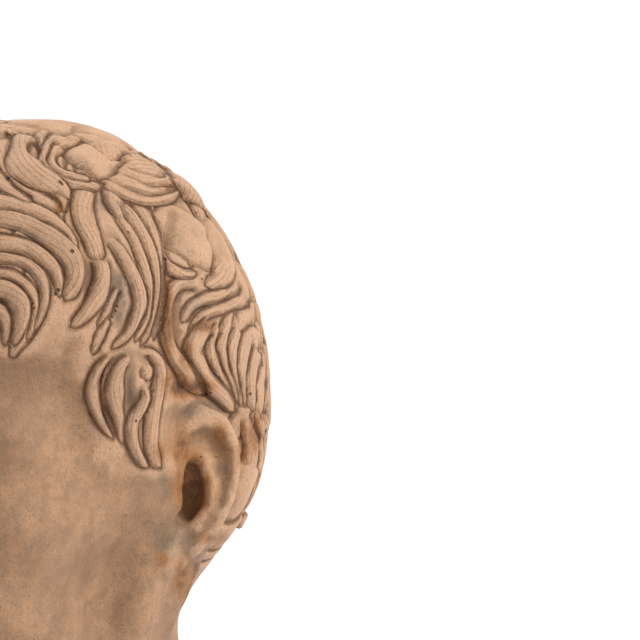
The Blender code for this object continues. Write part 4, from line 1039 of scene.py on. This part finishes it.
def clayMaterial(holes):
    material = bpy.data.materials.new("firedClay")
    material.use_nodes = True
    tree = material.node_tree
    shader = tree.nodes["Principled BSDF"]
    shader.inputs["Metallic"].default_value = 0.0
    shader.inputs["Specular IOR Level"].default_value = 0.22
    place = node(tree, "ShaderNodeTexCoord", (-1900, 0))

    def noise(x, y, scale, detail, rough=0.55):
        made = node(tree, "ShaderNodeTexNoise", (x, y))
        made.inputs["Scale"].default_value = scale
        made.inputs["Detail"].default_value = detail
        made.inputs["Roughness"].default_value = rough
        join(tree, (place.outputs["Object"], made.inputs["Vector"]))
        return made.outputs["Fac"]

    def ramp(x, y, source, low, high):
        made = node(tree, "ShaderNodeMapRange", (x, y))
        made.inputs["From Min"].default_value = low
        made.inputs["From Max"].default_value = high
        join(tree, (source, made.inputs["Value"]))
        return made.outputs["Result"]

    def mix(x, y, factor, first, second):
        made = node(tree, "ShaderNodeMix", (x, y), data_type="RGBA")
        for value, socket in ((factor, made.inputs[0]), (first, made.inputs[6]), (second, made.inputs[7])):
            if isinstance(value, (tuple, float)):
                socket.default_value = value
            else:
                join(tree, (value, socket))
        return made.outputs[2]

    def times(x, y, first, second):
        made = node(tree, "ShaderNodeMath", (x, y), operation="MULTIPLY", use_clamp=True)
        for value, socket in ((first, made.inputs[0]), (second, made.inputs[1])):
            if isinstance(value, float):
                socket.default_value = value
            else:
                join(tree, (value, socket))
        return made.outputs[0]

    def attribute(x, y, name):
        return node(tree, "ShaderNodeAttribute", (x, y), attribute_name=name).outputs["Fac"]

    mottle = ramp(-1500, 300, noise(-1700, 300, 34.0, 8.0, 0.68), 0.38, 0.62)
    blotch = ramp(-1500, 100, noise(-1700, 100, 190.0, 6.0, 0.65), 0.44, 0.66)
    speck = ramp(-1500, -100, noise(-1700, -100, 1150.0, 3.0, 0.75), 0.52, 0.70)
    patchy = ramp(-1500, -600, noise(-1700, -600, 75.0, 6.0, 0.7), 0.30, 0.60)
    groove, hollow = attribute(-1700, -300, "groove"), attribute(-1700, -450, "hollow")
    hair = ramp(-1500, -750, attribute(-1700, -750, "hair"), -0.25, 1.0)
    gap = node(tree, "ShaderNodeMath", (-1500, -900), operation="ABSOLUTE")
    join(tree, (attribute(-1700, -900, "gap"), gap.inputs[0]))
    edge = attribute(-1700, -1050, "edge")
    line = ramp(-1300, -900, gap.outputs[0], 0.50, 0.08)
    crease = times(-1100, -900, line, ramp(-1300, -1000, edge, 1.1, 0.6))
    shadeBesideEdge = ramp(-1300, -1100, edge, 2.0, 0.3)
    turns = node(tree, "ShaderNodeMath", (-1500, -1200), operation="MULTIPLY")
    turns.inputs[1].default_value = 2.0 * math.pi
    wave = node(tree, "ShaderNodeMath", (-1350, -1200), operation="SINE")
    join(tree, (attribute(-1700, -1200, "comb"), turns.inputs[0]), (turns.outputs[0], wave.inputs[0]))
    strand = times(-1000, -1200, ramp(-1200, -1200, wave.outputs[0], 0.35, 1.0), patchy)

    colour = mix(-1200, 300, mottle, firedClay["tan"], firedClay["pale"])
    colour = mix(-1100, 300, times(-1250, 120, hair, 0.50), colour, firedClay["pale"])
    colour = mix(-1000, 300, times(-1200, 120, blotch, 0.45), colour, firedClay["greyed"])
    greyed = ramp(-1100, 0, attribute(-1200, 0, "grey"), 0.05, 0.75)
    greyed = times(-1000, 120, greyed, ramp(-1200, -120, noise(-1400, -120, 120.0, 6.0), 0.25, 0.6))
    colour = mix(-800, 300, greyed, colour, firedClay["greyed"])
    # ridges lighter: partly rubbed wear, partly a painted highlight along the convex lock backs
    rubbed = times(-800, 120, ramp(-1000, -20, groove, -0.04, -0.55), 0.50)
    colour = mix(-600, 300, rubbed, colour, firedClay["wornAndHighlit"])
    stain = attribute(-800, 0, "stain")
    uneven = ramp(-800, -120, noise(-1000, -200, 110.0, 8.0, 0.7), 0.30, 0.56)
    stained = times(-600, 120, ramp(-700, 0, stain, 0.04, 0.42), uneven)
    colour = mix(-400, 300, stained, colour, firedClay["rust"])
    crumbs = ramp(-600, -160, noise(-800, -240, 210.0, 6.0, 0.7), 0.40, 0.58)
    core = times(-500, 0, ramp(-600, 0, stain, 0.30, 0.80), crumbs)
    colour = mix(-300, 300, core, colour, firedClay["umber"])
    # painted shade: darker colour down in the concave creases
    cut = times(-400, 120, ramp(-600, -20, groove, 0.15, 0.95), 0.25)
    colour = mix(-200, 300, cut, colour, firedClay["dark"])
    # painted shade: darker colour in the broad hollows of the hair
    colour = mix(-100, 300, times(-300, 120, times(-400, 40, ramp(-600, -60, hollow, 0.15, 1.0), hair), 0.40),
                 colour, firedClay["dark"])
    # painted shade: umber close beside each lock's edge
    colour = mix(0, 300, times(-200, 120, times(-300, 40, shadeBesideEdge, patchy), 0.26), colour, firedClay["umber"])
    # painted shade along the grooves at the lock borders, made patchy
    patchyCreaseShade = times(-100, 120, crease, ramp(-300, -40, patchy, -0.5, 1.5))
    colour = mix(100, 300, patchyCreaseShade, colour, firedClay["umber"])
    # painted shade: darker colour in the grooves of the comb marks
    colour = mix(200, 300, times(0, 120, strand, 0.30), colour, firedClay["dark"])
    colour = mix(300, 300, times(100, 120, speck, 0.50), colour, firedClay["dark"])
    hole = None
    for k, (centre, radius) in enumerate(holes):
        away = node(tree, "ShaderNodeVectorMath", (-2300, 900 - 60 * k), operation="DISTANCE")
        away.inputs[1].default_value = centre
        join(tree, (place.outputs["Object"], away.inputs[0]))
        share = node(tree, "ShaderNodeMath", (-2100, 900 - 60 * k), operation="DIVIDE")
        share.inputs[1].default_value = radius
        join(tree, (away.outputs["Value"], share.inputs[0]))
        if hole is not None:
            least = node(tree, "ShaderNodeMath", (-1950, 900 - 60 * k), operation="MINIMUM")
            join(tree, (hole, least.inputs[0]), (share.outputs[0], least.inputs[1]))
            hole = least.outputs[0]
        else:
            hole = share.outputs[0]
    # painted shade: the small holes are coloured near black inside
    depthOfHole = ramp(200, 700, hole, 1.15, 0.55)
    colour = mix(900, 300, times(800, 500, depthOfHole, 0.92), colour, firedClay["holeShade"])
    join(tree, (colour, shader.inputs["Base Color"]))

    rough = node(tree, "ShaderNodeMapRange", (200, -100))
    rough.inputs["To Min"].default_value = 0.52
    rough.inputs["To Max"].default_value = 0.78
    join(tree, (noise(0, -100, 60.0, 6.0), rough.inputs["Value"]),
         (rough.outputs["Result"], shader.inputs["Roughness"]))

    def pressed(x, height, deep, strength, under):
        made = node(tree, "ShaderNodeBump", (x, -500))
        made.inputs["Strength"].default_value = strength
        made.inputs["Distance"].default_value = deep
        join(tree, (height, made.inputs["Height"]))
        if under is not None:
            join(tree, (under, made.inputs["Normal"]))
        return made.outputs["Normal"]

    def sunk(x, y, source):
        made = node(tree, "ShaderNodeMath", (x, y), operation="SUBTRACT")
        made.inputs[0].default_value = 1.0
        join(tree, (source, made.inputs[1]))
        return made.outputs[0]

    pores = node(tree, "ShaderNodeTexVoronoi", (-600, -500))
    pores.inputs["Scale"].default_value = 420.0
    join(tree, (place.outputs["Object"], pores.inputs["Vector"]))
    face = pressed(0, sunk(-200, -1200, strand), 0.0003, 0.7, None)
    face = pressed(200, sunk(-200, -900, crease), 0.0006, 0.8, face)
    face = pressed(400, noise(0, -500, 240.0, 7.0, 0.72), 0.0014, 0.6, face)
    face = pressed(600, noise(0, -700, 900.0, 4.0, 0.75), 0.0006, 0.6, face)
    face = pressed(800, ramp(-400, -500, pores.outputs["Distance"], 0.05, 0.28), 0.0003, 0.3, face)
    face = pressed(1000, sunk(800, -700, depthOfHole), 0.0006, 0.8, face)
    join(tree, (face, shader.inputs["Normal"]))
    return material


def makeBust():
    mesh = thinned(carveBust(), netSizes["triangles"])
    shadeAttributes(mesh)
    holes = pitPlaces(mesh)
    mesh.transform(Matrix.Translation((0.0, 0.0, bustSizes["earHeight"])) @ Matrix.Scale(0.001, 4))
    mesh.name = "bustClay"
    mesh.materials.clear()
    mesh.materials.append(clayMaterial(holes))
    bust = bpy.data.objects.new("bustClay", mesh)
    bpy.context.scene.collection.objects.link(bust)
    mesh.shade_smooth()
    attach(bust, "root")
    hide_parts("bust")
    print("bust:", len(mesh.polygons), "triangles")
    return bust


# Each light: degrees round from the front, degrees up, distance and size in metres, power
studio = {
    "floorSize": 12.0,
    "world": 1.1,
    "lights": {
        "windowLeft": (-84.0, 50.0, 1.6, 0.5, 24.0),
        "behindRight": (112.0, 36.0, 1.5, 0.5, 28.0),
    },
}


def placeCamera():
    eye, across, up, out, _ = viewerPlace()
    camera = bpy.data.cameras.new("camera")
    camera.sensor_width = view["sensor"]
    camera.lens = view["sensor"] * view["far"] / (640.0 / view["perMillimetre"])
    camera.clip_end = 60.0
    holder = bpy.data.objects.new("camera", camera)
    bpy.context.scene.collection.objects.link(holder)
    turned = Matrix((across, up, out)).transposed().to_4x4()
    place = Vector(eye) * 0.001 + Vector((0.0, 0.0, bustSizes["earHeight"]))
    holder.matrix_world = Matrix.Translation(place) @ turned
    bpy.context.scene.camera = holder


def areaLight(name, turn, lift, far, size, power, colour=(1.0, 1.0, 1.0)):
    light = bpy.data.lights.new(name, "AREA")
    light.shape = "DISK"
    light.size = size
    light.energy = power
    light.color = colour
    holder = bpy.data.objects.new(name, light)
    bpy.context.scene.collection.objects.link(holder)
    t, l = math.radians(turn), math.radians(lift)
    out = Vector((math.sin(t) * math.cos(l), -math.cos(t) * math.cos(l), math.sin(l)))
    aim = Vector((0.0, 0.0, 0.26))
    holder.location = aim + far * out
    holder.rotation_mode = "QUATERNION"
    holder.rotation_quaternion = out.to_track_quat("Z", "Y")


def makeStudio():
    half = studio["floorSize"] / 2
    floor = bpy.data.meshes.new("floor")
    corner = [(-half, -half, 0), (half, -half, 0), (half, half, 0), (-half, half, 0)]
    floor.from_pydata(corner, [], [(0, 1, 2, 3)])
    board = bpy.data.objects.new("floor", floor)
    board.location.z = -0.0002
    bpy.context.scene.collection.objects.link(board)
    white = bpy.data.materials.new("paleFloor")
    white.use_nodes = True
    white.node_tree.nodes["Principled BSDF"].inputs["Base Color"].default_value = (0.96, 0.96, 0.96, 1.0)
    white.node_tree.nodes["Principled BSDF"].inputs["Roughness"].default_value = 0.9
    floor.materials.append(white)
    world = bpy.data.worlds.new("studio")
    world.use_nodes = True
    world.node_tree.nodes["Background"].inputs["Color"].default_value = (1.0, 1.0, 1.0, 1.0)
    world.node_tree.nodes["Background"].inputs["Strength"].default_value = studio["world"]
    bpy.context.scene.world = world
    bpy.context.scene.view_settings.view_transform = "Standard"
    for name, light in studio["lights"].items():
        areaLight(name, *light)


placeCamera()
makeStudio()
makeBust()
